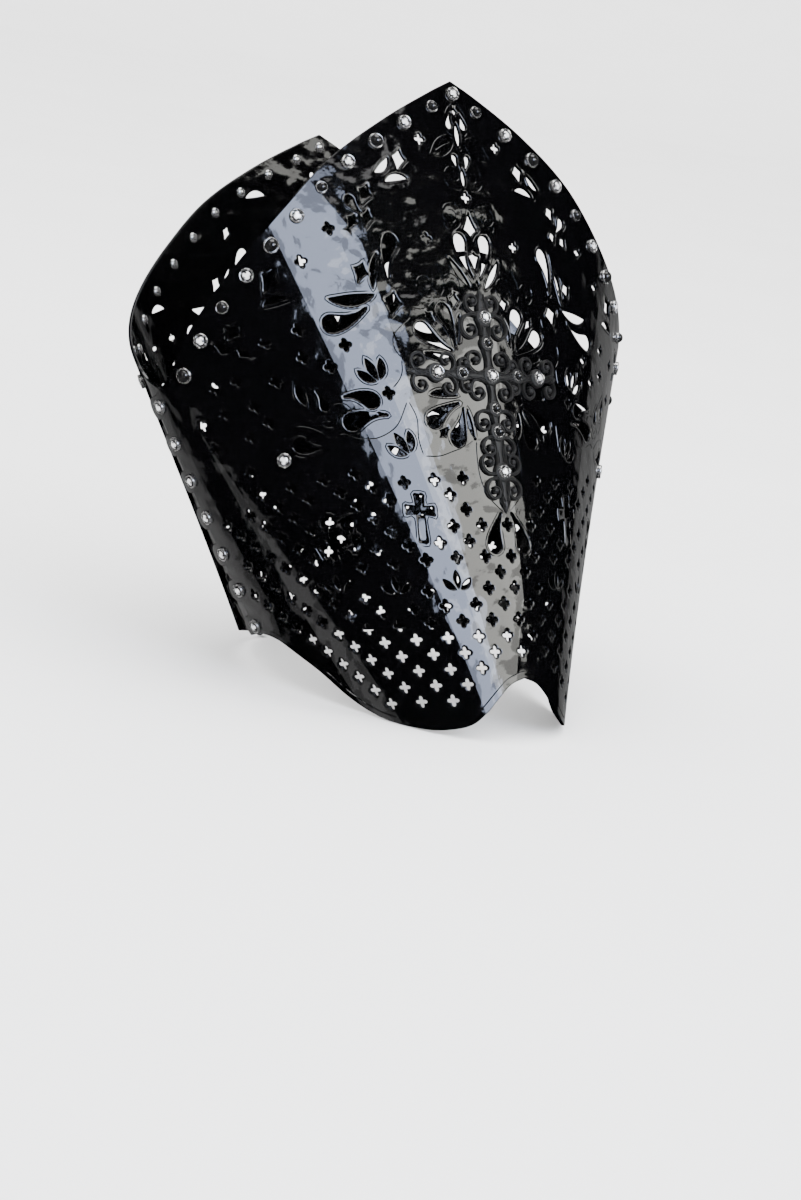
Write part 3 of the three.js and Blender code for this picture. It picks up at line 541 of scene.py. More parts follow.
def engraved_half():
    """Lines engraved on one half, the same on both sheets."""
    lines = [
        [(1.0, 255.2), (5.2, 251.6), (7.6, 246.0), (6.6, 239.4), (2.6, 236.4)],
        [(3.4, 235.4), (9.0, 237.2), (15.8, 233.2), (20.6, 225.6)],
        [(20.2, 225.0), (12.6, 225.2), (6.4, 228.8), (3.2, 234.0)],
        [(6.0, 233.4), (11.4, 231.2), (17.2, 227.6)],
        [(4.6, 197.8), (4.6, 193.6), (7.0, 188.6), (12.4, 184.2), (14.0, 177.6), (11.4, 169.8), (8.6, 165.4)],
        [(25.2, 149.8), (22.0, 156.2), (24.6, 167.4)], [(25.4, 167.4), (29.2, 156.6), (26.6, 149.8)],
        [(126.6, 52.4), (121.4, 62.0), (117.8, 71.0)], [(117.2, 71.6), (109.9, 76.4), (101.2, 75.6), (92.9, 71.4)],
        [(92.9, 70.6), (95.4, 65.6), (99.4, 61.0), (104.6, 55.2), (110.4, 52.0), (118.6, 50.0), (125.6, 51.2)],
        [(101.8, 79.0), (97.6, 84.4), (98.0, 92.0), (104.0, 97.6), (110.2, 102.0)],
        [(110.6, 100.8), (111.0, 92.0), (107.6, 84.0), (103.0, 79.4)],
        [(91.6, 71.8), (87.0, 74.6), (79.0, 72.8), (69.0, 73.8), (58.8, 80.6), (52.0, 93.2)],
    ]
    curves = [curve_through(line) for line in lines]
    for root, centre, hand in (((1.8, 208.6), (6.6, 215.6), 1), ((6.4, 199.0), (12.0, 194.0), -1),
                               ((9.4, 186.2), (12.8, 190.6), 1), ((24.0, 150.4), (18.6, 157.4), -1),
                               ((27.6, 150.4), (33.6, 155.8), 1), ((99.2, 80.4), (93.4, 82.4), -1),
                               ((85.0, 75.8), (88.2, 84.2), -1)):
        curves.append(volute(root, centre, hand, 1.25, 0.32, 26))
    return curves


def engraved_outlines(loops, gap=1.7):
    """Lines engraved round the larger cut-outs, at an even distance from each."""
    lines = []
    for loop in loops:
        ring = wound(loop, False)
        edge = np.array(ring + ring[:1])
        if np.hypot(*np.ptp(edge, axis=0)) < 9.5:
            continue
        fine = np.concatenate([edge[:-1] * (1 - t) + edge[1:] * t for t in (0, 0.34, 0.67)])
        out = [q for q in set_in(ring, gap) if np.min(np.hypot(*(fine - q).T)) > gap * 0.93]
        if len(out) > 8:
            lines.append(curve_through([tuple(q) for q in out + out[:1]], 2.2))
    return lines


def engraved_round_cross():
    """The ogee line round the cross, one half."""
    lines = [
        [(29.2, 148.0), (33.6, 144.2)], [(34.4, 143.4), (38.8, 142.2), (43.4, 143.0)],
        [(44.0, 142.2), (45.2, 137.4), (50.4, 133.0), (55.8, 127.0), (55.8, 120.4), (52.4, 116.0)],
        [(52.6, 115.0), (53.2, 108.0), (57.6, 101.4), (66.0, 95.2)],
        [(51.0, 93.6), (47.4, 85.2), (47.6, 74.6), (45.8, 66.4)],
        [(44.8, 65.8), (36.4, 66.4), (28.4, 69.2), (21.0, 72.0), (14.6, 76.0)],
        [(13.9, 75.2), (14.6, 67.4), (14.2, 57.0), (11.0, 47.6), (5.4, 41.6), (1.0, 38.4)],
    ]
    return [curve_through(line) for line in lines]


def lattice(face, taken):
    """Rows of small petal crosses on the lower half, where nothing else is cut."""
    loops = []
    rings = [np.array(loop) for loop in taken]
    blocked = np.concatenate([ring * (1 - t) + np.roll(ring, -1, axis=0) * t
                              for ring in rings for t in (0, 0.25, 0.5, 0.75)])
    for row in range(-9, 9):
        for column in range(-10, 11):
            p = (column + (0.5 if row % 2 else 0.0)) * 16.5
            z = row * 8.08 - ROW_SAG * p * p
            if row > (8 if 70 < abs(p) < 140 else 7) or (abs(p) < 20 and row > 4):
                continue
            share = abs(p) / seam_distance(face, z + ROW_A)[0]
            lowest = -LOBE_DROP * edge_value(LOWER_EDGE, share) if face == "front" else 0.0
            if face == "back":
                lowest = float(level_foot([share])[0])
            if z + ROW_A < lowest + 8.5 or share > 0.93:
                continue
            if np.min(np.hypot(blocked[:, 0] - p, blocked[:, 1] - z)) < 4.4:
                continue
            loops.append(petals((p, z), 3.15, math.degrees(math.atan(-2 * ROW_SAG * p))))
    return loops


def both_halves(loops):
    """The loops and their mirror images."""
    return loops + [[(-x, y) for x, y in loop] for loop in loops]


def raised_to_foot(loops):
    """From heights above row A to heights above the seams' foot."""
    return [[(x, y + ROW_A) for x, y in loop] for loop in loops]


# Pierced sheets

def inside(polygon, points):
    """Even-odd test of many points against one closed outline."""
    poly, pts = np.asarray(polygon), np.asarray(points)
    hit = np.zeros(len(pts), bool)
    x, y = pts[:, 0], pts[:, 1]
    for (x0, y0), (x1, y1) in zip(poly, np.roll(poly, -1, axis=0)):
        if y0 != y1:
            crosses = ((y0 > y) != (y1 > y)) & (x < (x1 - x0) * (y - y0) / (y1 - y0) + x0)
            hit ^= crosses
    return hit


ROLL_WIDTH = 0.55
ROLL_TILT = 0.36
LOWER_LINE_INSET = 3.4
BACK_MARGINS = {"foot": 5, "side": 16, "top": 14}


class FlatPattern:
    """A sheet's flat pattern: its rounded outlines, engraved lines and a grid, as one triangulation."""

    def __init__(self, outline, holes, lines, rounding, groove, pitch):
        self.roll = rounding + ROLL_WIDTH
        self.loops = [wound(outline, True)] + [wound(hole, False) for hole in holes]
        self.inner = [set_in(loop, rounding) for loop in self.loops]
        self.points, self.edges, self.sunk, self.owner = [], [], [], []
        self.starts = []
        for k, ring in enumerate(self.inner):
            self.starts.append(len(self.points))
            self.add_row([tuple(q) for q in ring], 0.0, k, closed=True)
        for line in lines:
            self.engrave(line, groove)
        self.add_grid(pitch)
        self.triangulate()

    def add_row(self, row, sunk, owner, closed=False):
        start = len(self.points)
        self.points += row
        self.sunk += [sunk] * len(row)
        self.owner += [owner] * len(row)
        ids = list(range(start, start + len(row)))
        self.edges += list(zip(ids, ids[1:]))
        if closed:
            self.edges.append((ids[-1], ids[0]))
        return ids

    def engrave(self, line, groove):
        """Cuts a V groove along a line, broken where something else is in its way."""
        half = groove["width"] / 2
        taken, owners = np.array(self.points), np.array(self.owner)
        run, runs = [], []
        for q in line:
            away = np.hypot(taken[:, 0] - q[0], taken[:, 1] - q[1])
            near = int(np.argmin(away))
            k = owners[near]
            free = away[near] > half + 0.45
            if free and k > 0:
                free = not inside(self.loops[k], [q])[0]
            if free and k == 0:
                free = bool(inside(self.loops[0], [q])[0])
            if free:
                run.append(q)
            else:
                runs.append(run)
                run = []
        runs.append(run)
        for run in runs:
            if len(run) < 4:
                continue
            a = np.array(run)
            left, body = left_of(a)[1:-1], a[1:-1]
            tips = self.add_row([tuple(a[0])], 0.0, -1) + self.add_row([tuple(a[-1])], 0.0, -1)
            for row, sunk in ((body + left * half, 0.0), (body, groove["depth"]), (body - left * half, 0.0)):
                ids = self.add_row([tuple(q) for q in row], sunk, -1)
                self.edges += [(tips[0], ids[0]), (ids[-1], tips[1])]

    def add_grid(self, pitch):
        outline = np.array(self.loops[0])
        low, high = outline.min(axis=0), outline.max(axis=0)
        rows = []
        for j in range(int((high[1] - low[1]) / (pitch * 0.866)) + 1):
            y = low[1] + j * pitch * 0.866
            rows += [(x, y) for x in np.arange(low[0] + (j % 2) * pitch / 2, high[0], pitch)]
        rows = np.array(rows)
        rows = rows[inside(outline, rows)]
        tree = kdtree.KDTree(len(self.points))
        for i, (x, y) in enumerate(self.points):
            tree.insert((x, y, 0), i)
        tree.balance()
        kept, unsure = [], {}
        rolled = [tuple(q) for loop in self.loops[1:] for q in set_in(loop, self.roll)]
        rings = np.array(rolled)
        rings = rings[inside(outline, rings)]
        for x, y in rings:
            _, i, away = tree.find((x, y, 0))
            if away > self.roll * 0.45:
                unsure.setdefault(max(self.owner[i], 0), []).append((x, y))
        thinned = []
        for k, spots in unsure.items():
            hit = inside(self.loops[k], spots) ^ (k == 0)
            thinned += [spot for spot, h in zip(spots, hit) if not h]
        near = kdtree.KDTree(len(thinned))
        for i, (x, y) in enumerate(thinned):
            near.insert((x, y, 0), i)
        near.balance()
        gone = set()
        for i, (x, y) in enumerate(thinned):
            if i not in gone:
                gone.update(j for _, j, _ in near.find_range((x, y, 0), 0.3) if j > i)
        kept += [spot for i, spot in enumerate(thinned) if i not in gone]
        unsure = {}
        for x, y in rows:
            _, i, away = tree.find((x, y, 0))
            _, _, ring_away = near.find((x, y, 0))
            if away < pitch * 0.42 or ring_away < pitch * 0.3:
                continue
            if away < 9 and self.owner[i] > 0:
                unsure.setdefault(self.owner[i], []).append((x, y))
            else:
                kept.append((x, y))
        for k, spots in unsure.items():
            hit = inside(self.loops[k], spots)
            kept += [spot for spot, h in zip(spots, hit) if not h]
        self.grid_start = len(self.points)
        self.points += [(float(x), float(y)) for x, y in kept]
        self.sunk += [0.0] * len(kept)
        self.owner += [-2] * len(kept)

    def triangulate(self):
        coords, _, faces, origin, _, _ = geometry.delaunay_2d_cdt(
            [Vector(q) for q in self.points], self.edges, [], 0, 1e-6, True)
        self.flat = np.array([(q.x, q.y) for q in coords])
        self.lookup = {}
        sunk, owner = np.zeros(len(coords)), np.full(len(coords), -2)
        for i, sources in enumerate(origin):
            for source in sources:
                self.lookup[source] = i
            if sources:
                sunk[i] = max(self.sunk[s] for s in sources)
                owner[i] = self.owner[sources[0]]
        self.depth = sunk
        faces = np.array([tuple(f) for f in faces])
        kinds = owner[faces]
        alone = (kinds[:, 0] == kinds[:, 1]) & (kinds[:, 1] == kinds[:, 2]) & (kinds[:, 0] >= 0)
        keep = np.ones(len(faces), bool)
        middles = self.flat[faces].mean(axis=1)
        for k in set(kinds[alone][:, 0].tolist()):
            rows = np.where(alone & (kinds[:, 0] == k))[0]
            hit = inside(self.inner[k], middles[rows])
            keep[rows] = hit if k == 0 else ~hit
        faces = faces[keep]
        a, b, c = (self.flat[faces[:, i]] for i in range(3))
        area = (b[:, 0] - a[:, 0]) * (c[:, 1] - a[:, 1]) - (c[:, 0] - a[:, 0]) * (b[:, 1] - a[:, 1])
        faces[area < 0] = faces[area < 0][:, ::-1]
        self.faces = faces[np.abs(area) > 1e-9]


def sheet_mesh(name, face, outer_depth, pattern, rounding):
    """Both skins and the rounded edges of a pierced sheet on the crown's surface."""
    flat, faces = pattern.flat, pattern.faces
    points, normals = lay(face, flat[:, 0], flat[:, 1])
    count = len(flat)
    outer = points - normals * (outer_depth + pattern.depth)[:, None]
    inner = points - normals * (outer_depth + WALL)
    rolled = normals.copy()
    vertices, shading = [outer, inner], [rolled, -normals]
    polygons = [tuple(f) for f in faces.tolist()]
    groove = pattern.depth[faces].max(axis=1) > 0
    grooved = [i for i, g in enumerate(groove) if g]
    polygons += [(a + count, c + count, b + count) for a, b, c in faces.tolist()]
    total = 2 * count
    for k, loop in enumerate(pattern.loops):
        own = np.array([pattern.lookup[pattern.starts[k] + i] for i in range(len(loop))])
        edge, ring = np.array(loop), flat[own]
        side_points, _ = lay(face, edge[:, 0], edge[:, 1])
        base, base_normals = points[own], normals[own]
        side = side_points - base
        side -= base_normals * np.sum(side * base_normals, axis=1)[:, None]
        side /= np.maximum(np.linalg.norm(side, axis=1), 1e-9)[:, None]
        if k:
            tipped = base_normals + side * ROLL_TILT
            rolled[own] = tipped / np.linalg.norm(tipped, axis=1)[:, None]
        rows = [own]
        for share, sunk, out in ((0.293, 0.293 * rounding, 0.62), (0.0, rounding, 0.0),
                                 (0.0, WALL - rounding, 0.0), (0.293, WALL - 0.293 * rounding, -0.71)):
            spot = edge * (1 - share) + ring * share
            p, n = lay(face, spot[:, 0], spot[:, 1])
            vertices.append(p - n * (outer_depth + sunk))
            tilt = side * math.sqrt(1 - out * out) + base_normals * out
            shading.append(tilt / np.linalg.norm(tilt, axis=1)[:, None])
            rows.append(np.arange(total, total + len(loop)))
            total += len(loop)
        rows.append(own + count)
        for upper, lower in zip(rows, rows[1:]):
            for i in range(len(loop)):
                j = (i + 1) % len(loop)
                polygons.append((int(upper[i]), int(lower[i]), int(lower[j]), int(upper[j])))
    if face == "back":
        polygons = [tuple(reversed(poly)) for poly in polygons]
    places, shading = settle(np.concatenate(vertices)), lean(np.concatenate(shading))
    mesh = bpy.data.meshes.new(name)
    mesh.from_pydata(places.tolist(), [], polygons)
    mesh.polygons.foreach_set("use_smooth", [True] * len(polygons))
    corners = np.zeros(len(mesh.loops), int)
    mesh.loops.foreach_get("vertex_index", corners)
    turned = shading[corners]
    for i in grooved:
        poly = mesh.polygons[i]
        turned[poly.loop_start:poly.loop_start + 3] = poly.normal
    mesh.normals_split_custom_set([tuple(n) for n in turned.tolist()])
    return mesh


def add_piece(name, mesh, material, slot, *replaced):
    """A finished piece with its finish, riding on the crown."""
    if not len(mesh.polygons):
        raise RuntimeError("no faces were made for " + name)
    piece = bpy.data.objects.new(name, mesh)
    bpy.context.scene.collection.objects.link(piece)
    mesh.materials.clear()
    mesh.materials.append(material)
    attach(piece, "root")
    if replaced:
        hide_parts(*replaced)


# Raised scrollwork

RIBBON_SIDES = 8
CROSS_MIDDLE = (0.0, 109.2)
CROSS_BAR = 2.7
CROSS_SWELL = 0.9
UPRIGHT_VOLUTES = (
    ((1.4, 143.2), (6.2, 148.2), 1), ((2.0, 139.4), (9.0, 133.6), -1), ((2.6, 112.2), (8.6, 117.8), 1),
    ((2.6, 106.0), (8.6, 100.8), -1), ((2.0, 89.6), (7.6, 84.6), -1), ((1.8, 76.6), (5.8, 71.4), -1),
    ((1.6, 60.6), (7.8, 64.4), 1), ((1.4, 55.2), (6.0, 49.4), -1),
)
ARM_VOLUTES = (((37.0, 1.4), (42.9, 6.2), 1), ((32.4, 1.6), (27.2, 6.9), -1), ((12.4, 1.8), (15.6, 6.0), 1))
TIP_WIDTHS, TIP_CRESTS = (1.5, 1.6, 1.2, 0.6, 0.1), (1.6, 1.7, 1.5, 1.0, 0.4)
CROSS_CRYSTALS = ((0.0, 139.8), (34.0, 109.4), (-34.0, 109.4), (0.0, 109.2), (0.0, 59.2))
CROSS_DOMES = ((0.0, 126.3, 0.86), (18.4, 109.8, 0.86), (-18.4, 109.8, 0.86), (0.0, 92.0, 0.86), (0.0, 79.9, 1.0))


class Relief:
    """Ribbons and buttons raised above the front sheet, gathered as points of the flat pattern."""

    def __init__(self):
        self.spots, self.faces = [], []

    def ribbon(self, path, halves, crest, foot=0.02):
        """A bar with a rounded back along a path. Halves and crest are single values or one a point."""
        line = np.array(path, float)
        n, k, start = len(line), RIBBON_SIDES, len(self.spots)
        halves = np.broadcast_to(np.asarray(halves, float), (n,))
        crest = np.broadcast_to(np.asarray(crest, float), (n,))
        left = left_of(line)
        for i in range(n):
            for m, t in enumerate(np.linspace(0, math.pi, k)):
                q = line[i] - left[i] * halves[i] * math.cos(t)
                rise = foot + (crest[i] - foot) * math.sin(t) ** 0.75 if 0 < m < k - 1 else foot
                self.spots.append((q[0], q[1], rise))
        for low in range(start, start + (n - 1) * k, k):
            for m in range(k):
                w = (m + 1) % k
                self.faces.append((low + m, low + k + m, low + k + w, low + w))
        self.faces.append(tuple(start + m for m in range(k)))
        self.faces.append(tuple(start + (n - 1) * k + m for m in reversed(range(k))))

    def button(self, middle, radius, profile, sides=24):
        """A turned form: profile rows are (share of the radius, height)."""
        start = len(self.spots)
        for share, rise in profile[:-1]:
            for i in range(sides):
                a = 2 * math.pi * i / sides
                self.spots.append((middle[0] + radius * share * math.cos(a),
                                   middle[1] + radius * share * math.sin(a), rise))
        tip = len(self.spots)
        self.spots.append((middle[0], middle[1], profile[-1][1]))
        for low in range(start, tip - sides, sides):
            for i in range(sides):
                j = (i + 1) % sides
                self.faces.append((low + i, low + j, low + sides + j, low + sides + i))
        for i in range(sides):
            self.faces.append((tip - sides + i, tip - sides + (i + 1) % sides, tip))
        self.faces.append(tuple(start + i for i in reversed(range(sides))))

    def scroll(self, root, centre, hand):
        """A scroll of two ribs with a groove between, and the bead that it ends in."""
        path = np.array(volute(root, centre, hand, 1.2, 0.26, 40))
        n = len(path)
        halves = np.array([0.92 - 0.34 * i / (n - 1) for i in range(n)])
        self.ribbon(path, halves, [1.25 + 0.5 * i / (n - 1) for i in range(n)])
        beside = left_of(path) * (halves * 0.62)[:, None]
        for line in (path + beside, path - beside):
            self.ribbon(line[:n * 3 // 4], 0.3, 1.75, 0.5)
        self.button(centre, 1.45, ((1.0, 0.02), (1.0, 1.5), (0.86, 2.1), (0.5, 2.5), (0.0, 2.6)), 14)

    def mesh(self, name):
        spots = np.array(self.spots)
        points, normals = lay("front", spots[:, 0], spots[:, 1] + ROW_A)
        mesh = bpy.data.meshes.new(name)
        mesh.from_pydata(settle(points + normals * spots[:, 2][:, None]).tolist(), [], self.faces)
        bm = bmesh.new()
        bm.from_mesh(mesh)
        bmesh.ops.recalc_face_normals(bm, faces=bm.faces)
        bm.to_mesh(mesh)
        bm.free()
        mesh.polygons.foreach_set("use_smooth", [True] * len(mesh.polygons))
        mesh.set_sharp_from_angle(angle=math.radians(50))
        return mesh


def swelling(distance, wave):
    """Half width of a bar of the cross, which swells and narrows along its length."""
    return CROSS_BAR + CROSS_SWELL * math.cos(distance * 2 * math.pi / wave)


def cross_relief():
    """The cross: swelling bars with a raised line on each edge, scrolls, tips, ribs and seats."""
    relief = Relief()
    level = CROSS_MIDDLE[1]
    heights = np.linspace(151.5, 41.0, 90)
    halves = [max(min(swelling(z - level, 17), (152.2 - z) * 0.7, (z - 39.6) * 0.7), 0.4) for z in heights]
    relief.ribbon([(0.0, z) for z in heights], halves, 1.25)
    for side in (-1, 1):
        relief.ribbon([(side * h * 0.78, z) for h, z in zip(halves, heights)], 0.34, 1.85, 0.5)
        reaches = np.linspace(1.0, 48.6, 44)
        arm = [(side * p, level) for p in reaches]
        wide = [max(min(swelling(p - 34, 15.6), (49.4 - p) * 0.6), 0.4) for p in reaches]
        relief.ribbon(arm, wide, 1.3)
        for flip in (-1, 1):
            relief.ribbon([(p, level + flip * h * 0.78) for h, (p, _) in zip(wide, arm)], 0.34, 1.9, 0.5)
        for root, centre, hand in UPRIGHT_VOLUTES:
            relief.scroll((side * root[0], root[1]), (side * centre[0], centre[1]), side * hand)
        for root, centre, hand in ARM_VOLUTES:
            for flip in (-1, 1):
                relief.scroll((side * root[0], level + flip * root[1]),
                              (side * centre[0], level + flip * centre[1]), side * flip * hand)
        relief.ribbon([(side * p, level) for p in (46.4, 47.6, 48.8, 50.0, 50.9)],
                      (1.7, 1.8, 1.3, 0.7, 0.1), TIP_CRESTS)
        for rib in (((1.2, 152.4), (3.0, 145.0), (3.4, 138.6), (2.8, 131.0)),
                    ((0.8, 44.0), (2.6, 50.0), (3.2, 57.0), (2.8, 66.0), (2.6, 74.0))):
            relief.ribbon(curve_through([(side * p, z) for p, z in rib]), 0.5, 2.1)
    for tip in ((149.6, 151.4, 153.0, 154.4, 155.2), (44.0, 42.0, 40.4, 39.0, 38.0)):
        relief.ribbon([(0, z) for z in tip], TIP_WIDTHS, TIP_CRESTS)
    for p, z in CROSS_CRYSTALS:
        relief.button((p, z), 5.0, ((1.0, 0.02), (1.0, 1.5), (0.92, 1.95), (0.86, 2.0), (0.0, 2.0)))
    for p, z, size in CROSS_DOMES:
        relief.button((p, z), 4.8 * size, ((1.0, 0.02), (1.0, 1.4), (0.93, 1.85), (0.86, 1.9), (0.0, 1.9)))
    return relief


# Studs

# Profiles are (radius, height) rows in millimetres, the height above the stud's seat.
CUP = ((0.0, -0.3), (3.6, -0.3), (3.75, 0.0), (3.8, 0.9), (3.72, 1.35), (3.5, 1.56), (3.28, 1.5), (3.14, 1.15),
       (2.9, 0.1), (0.0, -0.1))
RING = ((0.0, -0.3), (3.4, -0.3), (3.66, 0.0), (3.7, 0.45), (3.6, 0.85), (3.42, 1.0), (3.2, 0.92), (3.1, 0.5),
        (0.0, 0.4))
DOME = ((0.0, 0.3), (2.94, 0.4), (2.96, 0.9), (2.78, 1.7), (2.3, 2.4), (1.65, 2.95), (0.85, 3.25), (0.0, 3.35))
RIVET_CAP = ((0.0, -1.35), (1.2, -1.25), (2.1, -0.95), (2.7, -0.5), (2.9, -0.12), (2.9, 0.05), (0.0, 0.1))
CLAWS = {"count": 4, "circle": 2.86, "rise": 1.3, "radius": 0.46}
STONE_RADIUS = 2.7
# Rows of a stone's corners: share of its radius, height, count and turn in steps.
STONE_ROWS = ((0.50, 1.95, 8, 0.0), (0.80, 1.50, 8, 0.5), (1.0, 0.66, 16, 0.0), (1.0, 0.46, 16, 0.0),
              (0.45, -0.4, 8, 0.5))
STONE_POINT = -0.9
TABLE_SHARE, EDGE_SHARE = 0.32, 0.74
SEAT_SIDES, CAP_SIDES = 28, 20
CREASE = math.radians(48)
SPIN_LIMIT = 6.283


def seat_object(name, seats):
    """One point a stud: its place, the way it faces and its size."""
    mesh = bpy.data.meshes.new(name)
    mesh.from_pydata([seat[0] for seat in seats], [], [])
    out = mesh.attributes.new("out", "FLOAT_VECTOR", "POINT")
    out.data.foreach_set("vector", [c for seat in seats for c in seat[1]])
    size = mesh.attributes.new("size", "FLOAT", "POINT")
    size.data.foreach_set("value", [seat[2] for seat in seats])
    return mesh


def seats_on(face, spots, depth):
    """Seats at (across, height, size) spots, at a depth below the outer skin."""
    points, normals = lay(face, [s[0] for s in spots], [s[1] for s in spots])
    places, facing = settle(points - normals * depth), lean(normals)
    return [(tuple(p), tuple(n), s[2]) for p, n, s in zip(places.tolist(), facing.tolist(), spots)]


def turned_mesh(name, profile, sides):
    """A closed turned form from (radius, height) rows in millimetres, on the Z axis."""
    verts, faces, rings = [], [], []
    around = [2 * math.pi * i / sides for i in range(sides)]
    for radius, rise in profile:
        if radius < 1e-6:
            rings.append([len(verts)])
            verts.append((0, 0, rise * MM))
        else:
            rings.append(list(range(len(verts), len(verts) + sides)))
            verts += [(radius * MM * math.cos(a), radius * MM * math.sin(a), rise * MM) for a in around]
    for low, high in zip(rings, rings[1:]):
        for i in range(sides):
            j = (i + 1) % sides
            if len(low) == 1:
                faces.append((low[0], high[j], high[i]))
            elif len(high) == 1:
                faces.append((low[i], low[j], high[0]))
            else:
                faces.append((low[i], low[j], high[j], high[i]))
    mesh = bpy.data.meshes.new(name)
    mesh.from_pydata(verts, [], faces)
    mesh.polygons.foreach_set("use_smooth", [True] * len(faces))
    mesh.set_sharp_from_angle(angle=CREASE)
    return mesh


def stone_mesh(name):
    """A round brilliant: table, star and kite facets, girdle and pavilion, with painted reflections in the facets'
    colour: a bright table, star and kite facets lighter and darker by their turn, and dark outer facets as painted
    shade.
    """
    bm = bmesh.new()
    for share, rise, sides, turn in STONE_ROWS:
        for i in range(sides):
            a = 2 * math.pi * (i + turn) / sides
            reach = STONE_RADIUS * share * MM
            bm.verts.new((reach * math.cos(a), reach * math.sin(a), rise * MM))
    bm.verts.new((0, 0, STONE_POINT * MM))
    bmesh.ops.convex_hull(bm, input=bm.verts)
    bm.faces.ensure_lookup_table()
    painted_glints = []
    for face in bm.faces:
        middle = face.calc_center_median()
        share = math.hypot(middle.x, middle.y) / (STONE_RADIUS * MM)
        # painted reflection: the table bright, star and kite facets lighter and darker by their turn, the outer facets
        # dark as painted shade
        painted_shine = 0.5 + 0.5 * math.cos(math.atan2(middle.y, middle.x) * 3 + 0.7) if share < EDGE_SHARE else 0.0
        painted_glints += [0.9 if share < TABLE_SHARE else painted_shine] * len(face.verts)
    mesh = bpy.data.meshes.new(name)
    bm.to_mesh(mesh)
    bm.free()
    glint = mesh.attributes.new("glint", "FLOAT", "CORNER")
    glint.data.foreach_set("value", painted_glints)
    return mesh


def cup_mesh(name):
    """A turned cup with small claws that hold the stone."""
    mesh = turned_mesh(name, CUP, SEAT_SIDES)
    bm = bmesh.new()
    bm.from_mesh(mesh)
    for i in range(CLAWS["count"]):
        a = 2 * math.pi * (i + 0.5) / CLAWS["count"]
        spot = Vector((CLAWS["circle"] * math.cos(a), CLAWS["circle"] * math.sin(a), CLAWS["rise"])) * MM
        bmesh.ops.create_icosphere(bm, subdivisions=2, radius=CLAWS["radius"] * MM, matrix=Matrix.Translation(spot))
    for face in bm.faces:
        face.smooth = True
    bm.to_mesh(mesh)
    bm.free()
    mesh.set_sharp_from_angle(angle=CREASE)
    return mesh


def ring_mesh(name):
    return turned_mesh(name, RING, SEAT_SIDES)


def dome_mesh(name):
    return turned_mesh(name, DOME, SEAT_SIDES)


def cap_mesh(name):
    return turned_mesh(name, RIVET_CAP, CAP_SIDES)


def studding_tree():
    """Sets one shape on every seat: facing out, at the seat's own size and with a seeded spin."""
    tree = bpy.data.node_groups.new("set_on_seats", "GeometryNodeTree")
    for name, kind, default in (("Seats", "Geometry", None), ("Shape", "Object", None), ("Finish", "Material", None),
                                ("Size", "Float", 1.0), ("Spin Seed", "Int", 5)):
        socket = tree.interface.new_socket(name, in_out="INPUT", socket_type="NodeSocket" + kind)
        if default is not None:
            socket.default_value = default
    tree.interface.new_socket("Geometry", in_out="OUTPUT", socket_type="NodeSocketGeometry")
    given = add_node(tree, "NodeGroupInput").outputs
    shape = add_node(tree, "GeometryNodeObjectInfo", {}, {"Object": given["Shape"]})
    out, size = (add_node(tree, "GeometryNodeInputNamedAttribute", {"data_type": kind}, {"Name": name})
                 for name, kind in (("out", "FLOAT_VECTOR"), ("size", "FLOAT")))
    align = add_node(tree, "FunctionNodeAlignRotationToVector", {"axis": "Z"}, {"Vector": out.outputs["Attribute"]})
    spin = add_node(tree, "FunctionNodeRandomValue", {"data_type": "FLOAT"},
                    {3: SPIN_LIMIT, "Seed": given["Spin Seed"]})
    euler = add_node(tree, "ShaderNodeCombineXYZ", {}, {"Z": spin.outputs[1]})
    turn = add_node(tree, "FunctionNodeRotateRotation", {"rotation_space": "LOCAL"},
                    {"Rotation": align.outputs["Rotation"], "Rotate By": euler.outputs["Vector"]})
    scale = add_node(tree, "ShaderNodeMath", {"operation": "MULTIPLY"},
                     {0: size.outputs["Attribute"], 1: given["Size"]})
    studs = add_node(tree, "GeometryNodeInstanceOnPoints", {},
                     {"Points": given["Seats"], "Instance": shape.outputs["Geometry"],
                      "Rotation": turn.outputs["Rotation"], "Scale": scale.outputs["Value"]})
    real = add_node(tree, "GeometryNodeRealizeInstances", {}, {"Geometry": studs.outputs["Instances"]})
    finish = add_node(tree, "GeometryNodeSetMaterial", {},
                      {"Geometry": real.outputs["Geometry"], "Material": given["Finish"]})
    add_node(tree, "NodeGroupOutput", {}, {"Geometry": finish.outputs["Geometry"]})
    return tree


def set_on_seats(name, seats, shape_mesh, material, slot, replaced, size, seed):
    """Runs the studding tree on the seats and leaves a plain mesh."""
    tree = bpy.data.node_groups.get("set_on_seats") or studding_tree()
    holder = bpy.data.objects.new(name + "_seats", seat_object(name + "_seats", seats))
    shape = bpy.data.objects.new(name + "_shape", shape_mesh)
    for helper in (holder, shape):
        bpy.context.scene.collection.objects.link(helper)
    modifier = holder.modifiers.new("studs", "NODES")
    modifier.node_group = tree
    sockets = {item.name: item.identifier for item in tree.interface.items_tree if item.in_out == "INPUT"}
    modifier[sockets["Shape"]] = shape
    modifier[sockets["Finish"]] = material
    modifier[sockets["Size"]] = size
    modifier[sockets["Spin Seed"]] = seed
    deps = bpy.context.evaluated_depsgraph_get()
    deps.update()
    mesh = bpy.data.meshes.new_from_object(holder.evaluated_get(deps))
    mesh.name = name
    for key in ("out", "size"):
        if mesh.attributes.get(key):
            mesh.attributes.remove(mesh.attributes[key])
    bpy.data.objects.remove(holder)
    bpy.data.objects.remove(shape)
    add_piece(name, mesh, material, slot, *replaced)


# Nodes and finishes

